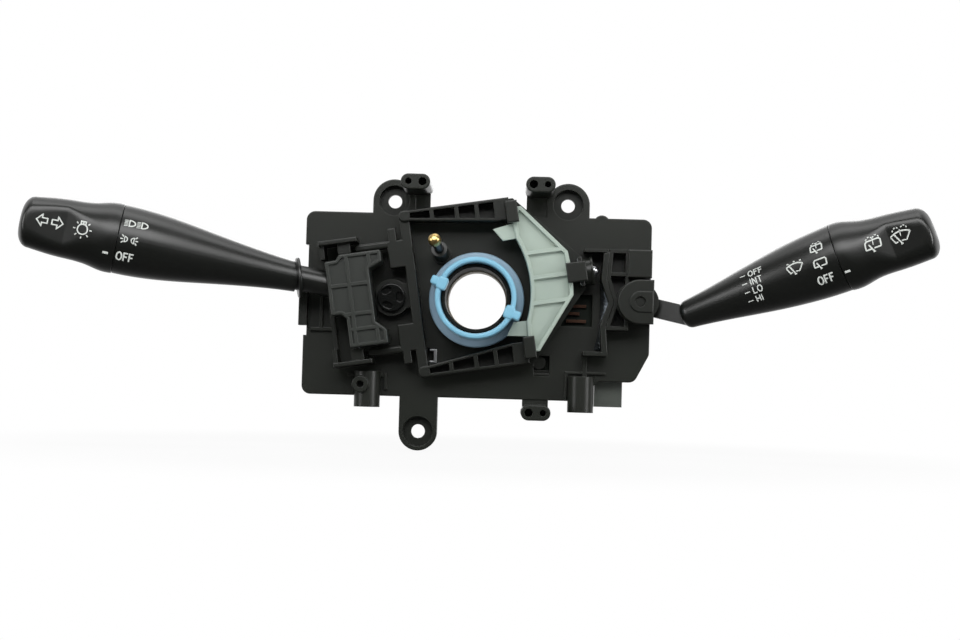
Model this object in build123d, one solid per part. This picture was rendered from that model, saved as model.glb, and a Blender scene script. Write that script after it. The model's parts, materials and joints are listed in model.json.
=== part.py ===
"""Combination stalk switch for a steering column: lighting and turn-signal stalk on the left,
wiper and washer stalk on the right, with a self-cancelling ring round the column bore.

X runs to the driver's right, Z up and the steering axis along Y. Heights are measured from the
mounting plane (the backs of the fixing lugs, Y = 0) towards the driver, which is -Y.
The turn-signal frame is drawn in its middle position and then turned to the signalling position.
"""
from build123d import *
import os
from math import cos, radians, sin, tan

# Clearances and rounding shared by all pieces
running_fit = 0.1
free_gap = 0.3
edge_round = 0.5

# Base plate
plate_left = -77.9
plate_right = 78.0
plate_top = 38.6
plate_bottom = -44.0
plate_front = 7.0
skirt_back = 0.5
plate_wall = 2.5
skirt_wall = 2.2
plate_corner = 4.0
step_edge_x = 53.0
step_edge_z = -35.0
chamfer_x = 71.5
chamfer_z = -22.5
notch_depth = 1.4
notch_low = -17.5
notch_high = 23.5
top_stop = (55.4, 36.4)
top_stop_radius = 3.6
guard = (-79.8, -13.2, -75.8, 2.0)
guard_height = 11.0
stalk_rib = (-74.6, -15.4, -64.0, -14.0)
stalk_web = (-70.4, -15.4, -69.0, 0.0)

# Fixing lugs
lug_hole_radius = 3.1
lug_radius = 9.7
lug_pad = 3.0
lug_recess_radius = 6.8
upper_lug_spacing = 78.4
upper_lug_mid_x = 0.9
upper_lug_z = 44.2
lower_lug_x = -25.0
lower_lug_z = -59.5
lower_lug_radius = 8.6

# Twin-hole shroud bosses
twin_length = 13.0
twin_width = 6.8
twin_foot_inset = 0.7
twin_height = 30.0
twin_pitch = 6.2
twin_screw_radius = 1.8
twin_locator_radius = 1.4
twin_hole_depth = 14.0
twin_upper_left = (-27.9, 50.5)
twin_upper_right = (27.1, 50.5)
twin_lower = (27.4, -49.4)

# Vertical screw posts for the column shroud
post_radius = 5.8
post_height = 10.5
post_hole_radius = 1.9
post_hole_depth = 8.0
post_clearance = 5.0
post_bottom = -49.0
left_post_x = -47.9
right_post_x = 47.5
front_boss = (-50.5, -38.9)
front_boss_radius = 3.8
front_boss_height = 18.0
front_boss_hole_radius = 1.6
front_boss_hole_depth = 5.0

# Windows in the plate and the spring clip in the left one
window_right = (38.0, -10.5, 52.0, 4.0)
window_left = (-21.6, -29.05, -18.1, -22.0)
window_low = (26.4, -33.2, 33.4, -24.0)
window_corner = 0.35
clip_metal = 0.5
clip_leaf = 2.3
clip_grip = 0.8
cup_wall = 1.0

# Column hub, bush and cancelling ring
bore_radius = 13.0
bush_wall = 1.2
bush_half_length = 6.0
hub_radius = 15.0
hub_bore_radius = 13.6
hub_front = 28.0
hub_flange_radius = 19.5
hub_flange = 2.2
ring_flange_radius = 21.3
ring_flange = 2.5
ring_lip_radius = 18.4
ring_lip_wall = 2.4
ring_front = 34.0
ring_bearing = 10.0
ring_cone = 4.5
dog_angle = 158.0
dog_inner = 14.6
dog_outer = 21.2
dog_width = 3.8
dog_height = 4.6
dog_rise = 1.0
tab_count = 4
tab_width = 4.0
tab_reach = 0.7
tab_thickness = 1.4

# Turn-signal frame
pivot_x = -38.0
turn_rest = 9.0
pivot_radius = 5.0
pivot_hub_radius = 8.2
pivot_flat = 6.6
pivot_bore_radius = 2.4
clip_radius = 6.3
clip_thickness = 2.2
clip_stub = 6.0
clip_lobe = (4.6, 2.8)
clip_lobe_offset = 3.75
clip_lobe_count = 3
frame_back = 9.5
frame_front = 20.0
deck_front = 13.0
column_left = -30.0
column_right = -25.5
rail_outer = 37.2
rail_inner_left = 32.4
rail_inner_right = 27.2
rail_bend_x = 13.0
rail_end_x = 19.4
rail_rib_places = (-25.9, -15.2, -4.1, 4.8, 13.4)
rail_end_round = 2.3
rail_rib = 1.8
rail_border = 1.3
rail_pocket_depth = 8.0
deck_corner_x = 21.4
nose_x = 48.4
nose_half = 7.2
deck_inner_x = 25.5
hook_left = 17.6
hook_right = 22.8
hook_low = 25.4
hook_high = 35.0
hook_lip = 3.2
drive_pin_arm = 10.5
drive_pin_radius = 1.2
cheek_left = -36.8
cheek_low = 12.6
cheek_drop = 0.2
cheek_front = 18.0
cheek_back = 12.0
tab_hook_width = 3.6
tab_hook_reach = 5.6
arm_left = -51.6
arm_gap = 1.0
arm_width = 3.2

# Lever yoke and lever block
hinge_x = -55.6
hinge_height = 19.0
hinge_pin_radius = 1.8
hinge_pin_seat = 4.0
bearing_half = 2.8
yoke_half = 27.0
yoke_bar = 2.0
yoke_left = -66.5
yoke_right = -49.2
yoke_front = 25.0
yoke_spine_front = 11.6
block_back = 13.0
block_split = 25.0
block_front = 28.0
block_left = -64.3
block_top = 20.8
block_bottom = -20.4
block_gap = 0.8
cover_rib = 1.5
cover_recess = 1.1
tongue_arm = 5.0
tongue_z = -4.0
tongue_radius = 1.6
tongue_length = 1.3

# Dimmer plunger and turn-signal contact slider
dimmer_at = (-50.4, -4.0)
dimmer_head_radius = 4.0
dimmer_head = 1.5
dimmer_stem_radius = 1.6
dimmer_end = 3.2
slider_half_width = 3.0
slider_half_height = 7.0
slider_back = 2.6
slider_front = 4.2
slider_contact = 0.3
bridge_offset = 5.0
slot_half = 4.6

# Stalks, measured along their own axes from root to tip
left_lean = 12.0
left_rise = 19.2
left_root_z = 6.0
left_shank_radius = 5.6
left_shank_start = 3.0
collar_at = 22.2
collar_radius = 9.0
collar_thickness = 1.6
collar_tilt = 16.0
left_seam = 102.3
left_tip = 146.0
left_profile = ((23.8, 6.5), (43.0, 8.4), (65.0, 11.6), (80.0, 13.75), (102.3, 15.05))
left_knob_radii = (15.05, 15.2, 13.7, 12.65, 11.2)
left_knob_tilt = 1.2
right_rise = 22.0
right_lean = 18.0
right_root = (91.0, 20.75, -5.2)
right_seam = 73.2
right_tip = 115.5
right_profile = ((0.0, 6.0), (16.5, 8.1), (38.2, 11.7), (60.8, 14.4), (73.2, 14.9))
right_knob_radii = (14.9, 15.1, 13.3, 12.35, 11.4)
right_knob_tilt = -4.5
right_end_round = 4.0
right_rod_length = 26.0
seam_gap = 0.25
rod_radius = 2.4
spigot_radius = 12.6
spigot_length = 6.0
rotor_radius = 4.0
rotor_thickness = 2.0
contact_disc = 1.5
knob_swell = 4.5
knob_neck = 11.5
knob_tip_round = 7.0
knob_flat = 9.6
knob_flat_start = 7.0
knob_flat_ramp = 15.5

# Cancelling pawl, upper half
pawl_front = 21.8
finger_back = 17.8
finger_front = 20.4
pawl_end = (24.4, 32.4)
pawl_end_inner = (21.8, 32.2)
pawl_neck = (20.0, 25.2)
pawl_shoulder = (42.4, 9.8)
pawl_nose = (42.8, 5.0)
pawl_waist_x = 24.2
finger_tip_outer = (10.9, 23.8)
finger_tip_inner = (14.6, 18.2)
finger_root = (20.4, 18.4)
finger_overlap = 2.0
pawl_border = 1.7
pawl_rib = 1.7
pawl_rib_z = 11.2
pawl_recess = 2.0
leaf_half = 6.0
leaf_foot = 2.0
leaf_metal = 0.3

# Detent plunger and its cam; radii are from the turn-signal pivot
holder_left = 46.4
holder_right = 52.6
holder_half = 6.6
holder_rise = 6.0
holder_flange = 1.7
holder_radius = 5.8
holder_rim = 0.9
holder_rim_step = 0.6
holder_foot = 3.5
bridge_left = 40.6
bridge_right = 49.4
bridge_half = 4.4
bridge_front = 25.2
plunger_height = 16.0
plunger_radius = 2.8
plunger_left = 49.6
plunger_seat = 47.6
ball_radius = 2.6
detent_peak = 93.6
detent_valley = 96.6
detent_step = 6.3
detent_tail = 0.6
cam_thickness = 2.7
cam_front = 18.0
cam_foot_left = 47.8
cam_foot_right = 58.6
cam_foot_low = -23.6
cam_foot_high = -21.8
cam_top_left = 47.4
cam_top_low = 22.4
cam_top_high = 23.8

# Springs
spring_wire = 0.3
detent_spring_radius = 1.9
horn_spring_radius = 1.3
wiper_spring_radius = 0.7
wiper_spring_wire = 0.2

# Wiper side
wiper_x = 72.2
wiper_z = 0.6
carrier_radius = 8.4
carrier_front = 21.2
carrier_slot_back = 9.4
carrier_slot_front = 19.2
carrier_slot_half = 5.1
carrier_slot_tail = 3.2
trunnion_radius = 2.2
trunnion_front = 2.6
washer_pin_radius = 1.5
washer_pin_half = 6.6
arm_height = 8.2
arm_drop = 0.6
arm_thickness = 3.8
arm_length = 25.0
arm_tail = 2.6
arm_fall = 13.0
arm_lean = 17.0
arm_mid = 13.0
detent_ball_radius = 1.2
detent_ball_height = 14.0
detent_seat = 4.4
scallop_radius = 0.5
scallop_count = 4
wiper_step = 6.0
housing_right = 67.4
housing_top = 23.8
housing_bottom = -12.0
housing_front = 18.0
housing_wall = 1.6
housing_floor = 10.5
housing_ribs = (12.8, 0.6)
well_wall = 1.2
raised_block = (66.8, 11.4, 77.4, 23.8)
raised_block_front = 20.5
pivot_cover_radius = 9.8
pivot_cover_thickness = 2.6
pivot_cover_right = 78.2
cover_pad_radius = 4.6
cover_pad = 0.8
contact_arm_length = 11.0
contact_arm_half = 1.5

# Rear cases, boards, connectors, contacts and screws
case_back = -10.0
case_wall = 1.5
left_case = (-71.0, -27.0, -22.9, 27.5)
right_case = (24.0, -32.0, 75.6, 27.5)
right_case_chamfer = (10.0, 17.0)
case_column_radius = 3.0
case_column_inset = 4.8
board_front = 2.0
board_thickness = 1.6
board_margin = 0.1
connector_front = 0.0
connector_wall = 1.5
connector_floor = 2.0
left_connector = (-58.5, -34.5, 13.0)
right_connector = (54.2, 66.7, 14.3)
left_terminal_count = 5
right_terminal_count = 3
terminal_width = 1.0
terminal_length = 6.0
screw_head_radius = 2.8
screw_head = 1.8
screw_recess = (3.4, 0.8)
screw_recess_depth = 1.0
screw_radius = 1.4
screw_length = 8.0
blade_width = 1.4
blade_height = 2.0
left_blades = ((-36.0, -18.0, -27.0), (-46.0, -18.0, -37.0), (-56.0, -18.0, -47.0))
right_blades = ((40.5, -8.0, 49.5), (40.5, -4.6, 46.5), (41.5, -1.2, 49.5))

# Horn contact, measured along its own axis
horn_base = (-16.2, 20.3)
horn_lean_side = -5.0
horn_lean_up = 9.0
horn_seat_height = 1.6
horn_seat_margin = 0.6
horn_boss_radius = 3.6
horn_boss_end = 11.0
horn_stem_radius = 2.0
horn_stem_start = 6.0
horn_head_start = 26.0
horn_head_radius = 2.8
horn_tip = 30.2
horn_spring_start = 2.0

# Sizes that follow from the ones above
wall_back = plate_front - plate_wall
upper_left_hole = (upper_lug_mid_x - upper_lug_spacing / 2, upper_lug_z)
upper_right_hole = (upper_lug_mid_x + upper_lug_spacing / 2, upper_lug_z)
lower_hole = (lower_lug_x, lower_lug_z)
twins = (twin_upper_left, twin_upper_right, twin_lower)
ring_back = plate_front + hub_flange + free_gap
tab_back = ring_back + ring_bearing + free_gap
post_front = deck_front + free_gap
carrier_back = plate_front + free_gap
cover_back = carrier_front + free_gap
pawl_back = deck_front + free_gap
lip_back = pawl_front + free_gap
ball_x = pivot_x + detent_peak - free_gap - ball_radius
drive_pin_x = pivot_x + drive_pin_arm
tongue_x = hinge_x + tongue_arm
tongue_back = block_back - tongue_length
yoke_inner = yoke_half - yoke_bar / 2
yoke_outer = yoke_half + yoke_bar / 2
rib_front = frame_back - 2 * free_gap
holder_front = plunger_height + holder_rise
arm_high = yoke_inner - arm_gap
arm_low = arm_high - arm_width
cheek_high = arm_high - cheek_drop
post_top = -yoke_outer - post_clearance
block_waist = pivot_x - pivot_flat - block_gap
turn_axis = Axis((pivot_x, 0, 0), (0, -1, 0))


def at(height):
    """Face-on plane at a height above the mounting plane; its normal points at the driver."""
    return Plane.XZ.offset(height)


def prism(outline, low, high):
    """Solid with a face-on outline between two heights."""
    return extrude(at(low) * outline, high - low)


def soft_prism(outline, low, high, radius=edge_round):
    """Prism whose front edges are rounded, as moulded plastic is."""
    body = prism(outline, low, high)
    return fillet(body.faces().sort_by(Axis.Y)[0].edges(), radius)


def rectangle(left, low, right, high, corner=0.0):
    """Face-on rectangle given by its sides, in any order."""
    outline = Pos((left + right) / 2, (low + high) / 2) * Rectangle(abs(right - left), abs(high - low))
    if corner:
        outline = fillet(outline.vertices(), corner)
    return outline


def polygon(*points, corner=0.0):
    """Face-on polygon, with its corners rounded where a radius is given."""
    outline = make_face(Polyline(*points, close=True))
    if corner:
        outline = fillet(outline.vertices(), corner)
    return outline


def disc(centre, radius):
    """Face-on disc."""
    return Pos(*centre) * Circle(radius)


def flipped(outline):
    """Outline mirrored across the level of the steering axis."""
    return mirror(outline, about=Plane.XZ)


def rod(start, direction, radius, length):
    """Cylinder from a point along a direction."""
    return extrude(Plane(origin=start, z_dir=direction) * Circle(radius), length)


def upright(x, height, z, radius, length):
    """Vertical cylinder that starts at a level z and goes up by a length."""
    return rod((x, -height, z), (0, 0, 1), radius, length)


def turned(shape):
    """The frame's pieces, from the middle position to the signalling position they rest in."""
    return shape.rotate(turn_axis, turn_rest)


def coil(start, direction, radius, length, turns, wire=spring_wire):
    """Helical compression spring that fills a length along a direction."""
    climb = length - 2 * wire
    path = Helix(pitch=climb / turns, height=climb, radius=radius)
    section = Plane(origin=path @ 0, z_dir=path % 0) * Circle(wire)
    return Plane(origin=start, z_dir=direction) * Pos(0, 0, wire) * sweep(section, path=path, is_frenet=True)


def stalk_plane(origin, rise, lean, side):
    """Plane whose normal runs along a stalk from root to tip and whose x points at the driver."""
    a, b = radians(rise), radians(lean)
    along = Vector(side * cos(a) * cos(b), -sin(b), sin(a) * cos(b))
    facing = Vector(0, -1, 0) - along * Vector(0, -1, 0).dot(along)
    return Plane(origin=origin, x_dir=facing, z_dir=along)


left_plane = stalk_plane((hinge_x, -hinge_height, left_root_z), left_rise, left_lean, -1)
right_plane = stalk_plane((right_root[0], -right_root[1], right_root[2]), right_rise, right_lean, 1)


def main_outline():
    """Plate outline without its lugs and bosses."""
    return polygon(
        (plate_left, plate_bottom), (step_edge_x, plate_bottom), (step_edge_x, step_edge_z),
        (chamfer_x, step_edge_z), (plate_right, chamfer_z), (plate_right, plate_top),
        (plate_left, plate_top), corner=plate_corner)


def twin_outline(centre):
    """Stadium of a twin-hole boss."""
    return Pos(*centre) * SlotOverall(twin_length, twin_width)


def plate_outline():
    """Plate outline with its lugs and the half-round stop."""
    outline = main_outline()
    for hole in (upper_left_hole, upper_right_hole):
        outline += disc(hole, lug_radius)
        outline += rectangle(hole[0] - lug_radius, plate_top - plate_corner, hole[0] + lug_radius, hole[1])
    outline += disc(lower_hole, lower_lug_radius)
    outline += rectangle(lower_lug_x - lower_lug_radius, lower_lug_z,
                         lower_lug_x + lower_lug_radius, plate_bottom + plate_corner)
    outline -= rectangle(plate_left - 1.0, notch_low, plate_left + notch_depth, notch_high)
    return outline + disc(top_stop, top_stop_radius)


def twin_boss(centre):
    """Tall twin-hole boss with the foot that joins it to the plate's edge."""
    x, z = centre
    half = twin_length / 2 - twin_foot_inset
    inside = plate_top - plate_corner if z > 0 else plate_bottom + plate_corner
    foot = prism(rectangle(x - half, z, x + half, inside), skirt_back, plate_front - edge_round)
    return foot + soft_prism(twin_outline(centre), skirt_back, twin_height)


def twin_holes(centre, inward):
    """Screw hole and smaller locating hole of a twin boss; the screw hole is on the inward side."""
    half = inward * twin_pitch / 2
    bottom = twin_height - twin_hole_depth
    screw = prism(disc((centre[0] + half, centre[1]), twin_screw_radius), bottom, twin_height)
    return screw + prism(disc((centre[0] - half, centre[1]), twin_locator_radius), bottom, twin_height)


def plate_ribs():
    """Low ribs on the plate, the guard beside the left stalk and the closed cup behind the left window."""
    thin = 0.9
    ribs = prism(rectangle(right_post_x + 0.8, post_top - 1.0, right_post_x + 2.6, cam_foot_low),
                 wall_back, rib_front)
    ribs += prism(rectangle(right_post_x - 7.0, post_top + 1.2, right_post_x + 11.0, post_top + 2.1),
                  wall_back, rib_front)
    ribs += prism(rectangle(right_post_x - 7.0, post_top + 2.0, right_post_x - 7.0 + thin, plate_bottom),
                  wall_back, rib_front)
    ribs += prism(rectangle(left_post_x - 9.0, post_top - 2.4, left_post_x + 7.0, post_top - 1.0),
                  wall_back, rib_front)
    ribs += prism(rectangle(left_post_x + 7.4, post_top - 1.0, left_post_x + 8.6, plate_bottom + 3.0),
                  wall_back, rib_front)
    ribs += soft_prism(rectangle(*guard), wall_back, guard_height, 0.4)
    ribs += prism(rectangle(*stalk_rib), wall_back, rib_front)
    ribs += prism(rectangle(*stalk_web), wall_back, rib_front)
    left, low, right, high = window_low
    ledge = rectangle(left - cup_wall, low - cup_wall, right + cup_wall, right_case[1] - free_gap)
    ribs += prism(ledge, skirt_back, wall_back)
    left, low, right, high = window_left
    cup = rectangle(left - cup_wall, low - cup_wall, right + cup_wall, high + cup_wall)
    ribs += prism(cup, skirt_back, wall_back) - prism(rectangle(*window_left), skirt_back + cup_wall, wall_back)
    return ribs


def base_plate():
    """Moulded base plate: front wall, skirt, lugs, bosses, posts and the turn-signal pivot."""
    body = soft_prism(plate_outline(), skirt_back, plate_front)
    body -= prism(offset(main_outline(), -skirt_wall), skirt_back, wall_back)
    for hole, radius in ((upper_left_hole, lug_radius), (upper_right_hole, lug_radius),
                         (lower_hole, lower_lug_radius)):
        body += prism(disc(hole, radius), 0, wall_back)
        body -= prism(disc(hole, min(lug_recess_radius, radius - 1.4)), lug_pad, plate_front)
        body -= prism(disc(hole, lug_hole_radius), 0, lug_pad)
    for centre, inward in zip(twins, (1, -1, -1)):
        body += twin_boss(centre)
        body -= twin_holes(centre, inward)
    body += soft_prism(disc(front_boss, front_boss_radius), wall_back, front_boss_height)
    for x in (left_post_x, right_post_x):
        body += upright(x, post_height, post_bottom, post_radius, post_top - post_bottom)
        body -= upright(x, post_height, post_bottom, post_hole_radius, post_hole_depth)
    body -= prism(disc(front_boss, front_boss_hole_radius), front_boss_height - front_boss_hole_depth,
                  front_boss_height)
    for window in (window_right, window_left, window_low):
        body -= prism(rectangle(*window, corner=window_corner), wall_back, plate_front)
    body -= prism(disc((0, 0), hub_radius), wall_back, plate_front)
    body += prism(disc((pivot_x, 0), pivot_hub_radius), wall_back, frame_back - free_gap)
    body += prism(disc((pivot_x, 0), pivot_radius), wall_back, post_front)
    body -= prism(disc((pivot_x, 0), pivot_bore_radius), wall_back, post_front)
    slot_width = drive_pin_radius + 0.7
    body -= prism(rectangle(drive_pin_x - slot_width, -slot_half, drive_pin_x + slot_width, slot_half),
                  wall_back, plate_front)
    body -= prism(disc(dimmer_at, dimmer_stem_radius + running_fit), wall_back, plate_front)
    body -= prism(disc((wiper_x, wiper_z), trunnion_radius + running_fit), wall_back, plate_front)
    body += prism(disc(horn_base, horn_boss_radius + horn_seat_margin),
                  wall_back, plate_front + horn_seat_height)
    return body + plate_ribs()


def window_clip():
    """Sprung metal clip that grips the plate at the edge of the left window, with two prongs."""
    edge, low, high = window_left[2], window_left[1] + 0.6, window_left[3] - 0.4
    front = plate_front + clip_metal
    body = prism(rectangle(edge - clip_metal, low, edge, high), wall_back - clip_metal, front)
    body += prism(rectangle(edge - clip_metal, low, edge + clip_grip, high), plate_front, front)
    upper = rectangle(edge - clip_leaf, high - clip_grip, edge, high)
    lower = rectangle(edge - clip_leaf, low, edge, low + clip_grip)
    return body + prism(upper, wall_back, front) + prism(lower, wall_back, front)


def column_hub():
    """Sleeve round the column bore with a seating flange and four snap tabs that hold the ring."""
    body = prism(disc((0, 0), hub_flange_radius), plate_front, plate_front + hub_flange)
    body += prism(disc((0, 0), hub_radius), -bush_half_length, hub_front)
    body -= prism(disc((0, 0), bore_radius + bush_wall), -bush_half_length, bush_half_length)
    body -= prism(disc((0, 0), hub_bore_radius), bush_half_length, hub_front)
    tab = Pos(hub_radius + tab_reach - 0.8, 0) * Rectangle(1.6, tab_width)
    for index in range(tab_count):
        body += prism(Rot(0, 0, index * 360 / tab_count) * tab, tab_back, tab_back + tab_thickness)
    return body


def column_bush():
    """Plain sleeve bearing in the back of the hub."""
    return prism(disc((0, 0), bore_radius + bush_wall) - disc((0, 0), bore_radius),
                 -bush_half_length, bush_half_length)


def cancel_ring():
    """Cancelling ring: conical flange, sleeve with an open lip, and two driving dogs."""
    lip_inner = ring_lip_radius - ring_lip_wall
    bearing = hub_radius + running_fit
    flange_top = ring_back + ring_flange
    bearing_top = ring_back + ring_bearing
    section = polygon(
        (bearing, -ring_back), (ring_flange_radius, -ring_back), (ring_flange_radius, -flange_top),
        (ring_lip_radius, -flange_top - ring_cone), (ring_lip_radius, -ring_front),
        (lip_inner, -ring_front), (lip_inner, -bearing_top), (bearing, -bearing_top))
    body = revolve(section, axis=Axis.Y)
    body = fillet(body.edges().filter_by(GeomType.CIRCLE).sort_by(Axis.Y)[:2], 2 * edge_round)
    dog = Pos((dog_inner + dog_outer) / 2, 0) * SlotOverall(dog_outer - dog_inner, dog_width)
    dog_front = ring_front + dog_rise
    for angle in (dog_angle, dog_angle + 180):
        body += soft_prism(Rot(0, 0, angle) * dog, dog_front - dog_height, dog_front, 0.8)
    return body


def pivot_clip():
    """Three-lobed retaining button pressed in the turn-signal pivot post."""
    body = soft_prism(disc((pivot_x, 0), clip_radius), post_front, post_front + clip_thickness)
    body += prism(disc((pivot_x, 0), pivot_bore_radius), post_front - clip_stub, post_front)
    for index in range(clip_lobe_count):
        lobe = Pos(pivot_x, 0) * Rot(0, 0, 125 + index * 360 / clip_lobe_count) * Pos(clip_lobe_offset, 0)
        crescent = lobe * Rot(0, 0, 90) * SlotOverall(*clip_lobe)
        body -= prism(crescent, post_front + 0.6, post_front + clip_thickness)
    return body


def rail_inner(x):
    """Level of the rail's inner edge, which slopes from the column to the bend."""
    share = (x - column_right) / (rail_bend_x - column_right)
    return rail_inner_left + share * (rail_inner_right - rail_inner_left)


def rail_pockets():
    """Face-on pockets of the upper rail, one between each pair of ribs."""
    pockets = []
    for near, far in zip(rail_rib_places, rail_rib_places[1:]):
        left = near + rail_rib / 2
        right = far - rail_rib / 2
        pockets.append(polygon(
            (left, rail_inner(left) + rail_border), (right, rail_inner(right) + rail_border),
            (right, rail_outer - rail_border), (left, rail_outer - rail_border), corner=0.4))
    return pockets


def deck():
    """Upper half of the flat deck under the pawl, between the rail's end and the nose."""
    return polygon(
        (rail_end_x - 3.0, rail_outer), (deck_corner_x, rail_outer), (nose_x, nose_half), (nose_x, 0),
        (deck_inner_x, 0), (deck_inner_x, nose_half + 6.0), (rail_end_x - 3.0, rail_inner_right))


def cheek(side):
    """Left plate of the frame with its hook and the arm that carries the lever yoke."""
    hook_x = cheek_left + 1.0
    tip = side * (cheek_high + tab_hook_reach)
    body = soft_prism(rectangle(cheek_left, side * cheek_low, column_left + 1.0, side * cheek_high),
                      cheek_back, cheek_front)
    body += soft_prism(rectangle(hook_x, side * (cheek_high - 1.0), hook_x + tab_hook_width, tip),
                       cheek_back, cheek_front)
    arm = rectangle(arm_left, side * arm_low, hook_x, side * arm_high, corner=1.2)
    return body + soft_prism(arm, cheek_back, cheek_front, 1.0)


def pawl_hook(side):
    """Hook at a rail's end that holds the pawl down on the deck."""
    foot = side * (pawl_end[1] + free_gap)
    body = soft_prism(rectangle(hook_left, side * hook_low, hook_right, side * hook_high),
                      lip_back, lip_back + hook_lip)
    return body + prism(rectangle(hook_left, foot, hook_right, side * hook_high), deck_front, lip_back + 0.5)


def plunger_holder():
    """Flanged barrel at the nose that guides the detent plunger, with a bridge over the pawl's edge."""
    flange = rectangle(holder_left, -holder_half, holder_left + holder_flange, holder_half)
    bridge = rectangle(bridge_left, -bridge_half, bridge_right, bridge_half)
    link = rectangle(holder_left, -bridge_half, bridge_right, bridge_half)
    foot = rectangle(holder_left, -holder_foot, holder_right, holder_foot)
    body = soft_prism(flange, frame_back, holder_front)
    body += rod((holder_left, -plunger_height, 0), (1, 0, 0), holder_radius, holder_right - holder_left)
    body += rod((holder_right - holder_rim, -plunger_height, 0), (1, 0, 0), holder_radius + holder_rim_step,
                holder_rim)
    body += prism(foot, frame_back, plunger_height)
    body += soft_prism(bridge, lip_back, bridge_front)
    return body + prism(link, plunger_height, lip_back + 1.0)


def turn_frame():
    """Turn-signal frame: rails with open pockets, column, pivot hub, deck, hooks and plunger holder."""
    rail = polygon(
        (column_left, rail_outer), (rail_end_x, rail_outer), (rail_end_x, rail_inner_right),
        (rail_bend_x, rail_inner_right), (column_right, rail_inner_left), (column_left, rail_inner_left))
    rail = fillet(rail.vertices().group_by(Axis.X)[0], rail_end_round)
    body = soft_prism(rail, frame_back, frame_front) + soft_prism(flipped(rail), frame_back, frame_front)
    for pocket in rail_pockets():
        for half in (pocket, flipped(pocket)):
            body -= prism(half, frame_front - rail_pocket_depth, frame_front)
    body += soft_prism(rectangle(column_left, 3.0 - rail_outer, column_right, rail_outer - 3.0),
                       frame_back, cheek_front)
    body += prism(deck(), frame_back, deck_front) + prism(flipped(deck()), frame_back, deck_front)
    hub = disc((pivot_x, 0), pivot_hub_radius)
    hub &= rectangle(pivot_x - pivot_flat, -pivot_hub_radius, pivot_x + pivot_hub_radius, pivot_hub_radius)
    body += prism(hub, frame_back, deck_front)
    body += prism(rectangle(pivot_x, -5.5, column_left + 1.0, 5.5), frame_back, deck_front)
    body -= prism(disc((pivot_x, 0), pivot_radius + running_fit), frame_back, deck_front)
    body += prism(disc((drive_pin_x, 0), drive_pin_radius), slider_back, frame_back)
    for side in (1, -1):
        body += cheek(side)
        body += pawl_hook(side)
    body += plunger_holder()
    body -= rod((plunger_seat, -plunger_height, 0), (1, 0, 0), plunger_radius + running_fit,
                holder_right - plunger_seat)
    return turned(body)


def lever_yoke():
    """C-shaped yoke: two hinge bars joined by a spine behind the stalk, on the frame's arms."""
    spine = rectangle(yoke_left, -yoke_half, yoke_left + yoke_bar, yoke_half)
    body = prism(spine, frame_back, yoke_spine_front)
    for side, near in ((1, block_top + 0.6), (-1, block_bottom - 0.6)):
        body += soft_prism(rectangle(yoke_left, side * yoke_inner, yoke_right, side * yoke_outer),
                           frame_back, yoke_front, 0.4)
        foot = rectangle(arm_left, side * arm_low, yoke_right, side * yoke_inner)
        body += prism(foot, frame_back, cheek_back)
        bearing = rectangle(hinge_x - bearing_half, near, hinge_x + bearing_half, side * yoke_inner)
        body += prism(bearing, hinge_height - 3.2, hinge_height + 3.2)
        corner = rectangle(yoke_left, side * (yoke_inner - 6.0), yoke_left + yoke_bar, side * yoke_inner)
        body += prism(corner, frame_back, yoke_front - 3.0)
    body -= upright(hinge_x, hinge_height, -yoke_outer, hinge_pin_radius + running_fit, 2 * yoke_outer)
    return turned(body)


def hinge_pin(side):
    """Pin, pressed in the block, on which it turns in the yoke."""
    start = block_top - hinge_pin_seat if side > 0 else -yoke_outer
    end = yoke_outer if side > 0 else block_bottom + hinge_pin_seat
    return turned(upright(hinge_x, hinge_height, start, hinge_pin_radius, end - start))


def block_outline():
    """Face-on outline of the lever block, cut away beside the pivot and at its lower left."""
    right_end = pivot_x - 1.4
    waist = block_waist
    notch = hinge_x - 2.2
    return polygon(
        (block_left, 18.4), (notch - 1.6, 18.6), (notch, block_top), (right_end, block_top),
        (right_end, 15.6), (waist, 13.0), (waist, -10.2), (right_end - 1.6, -14.0),
        (right_end - 1.6, block_bottom), (notch, block_bottom), (notch, -7.6), (notch - 2.2, -5.4),
        (block_left, -5.4), corner=0.7)


def bore(start, length, radius):
    """Cylinder along a stalk's axis."""
    return Pos(0, 0, start) * Cylinder(radius, length, align=(Align.CENTER, Align.CENTER, Align.MIN))


def left_socket():
    """Space that the left stalk's shank and the fixed contact disc take in the block."""
    return left_plane * bore(left_shank_start - contact_disc, collar_at, left_shank_radius)


def lever_block():
    """Body of the lever block, with the stalk's socket, the dimmer tongue and the pin holes."""
    body = prism(block_outline(), block_back, block_split)
    body += prism(disc((tongue_x, tongue_z), tongue_radius), tongue_back, block_back)
    body -= left_socket()
    body -= upright(hinge_x, hinge_height, block_top - hinge_pin_seat, hinge_pin_radius, hinge_pin_seat)
    body -= upright(hinge_x, hinge_height, block_bottom, hinge_pin_radius, hinge_pin_seat)
    return turned(body)


def block_cover():
    """Lid of the lever block, with shallow pockets between its ribs."""
    outline = block_outline()
    body = soft_prism(outline, block_split, block_front, 0.6)
    columns = (block_left, hinge_x + 0.8, block_waist + 0.4, pivot_x)
    rows = (block_bottom, -12.6, -5.8, 7.2, block_top)
    inner = offset(outline, -cover_rib, kind=Kind.INTERSECTION)
    half = cover_rib / 2
    for left, right in zip(columns[:-1], columns[1:]):
        for low, high in zip(rows[:-1], rows[1:]):
            pocket = inner & rectangle(left + half, low + half, right - half, high - half)
            if pocket and pocket.area > 4.0:
                body -= prism(pocket, block_front - cover_recess, block_front)
    return turned(body - left_socket())


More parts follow.
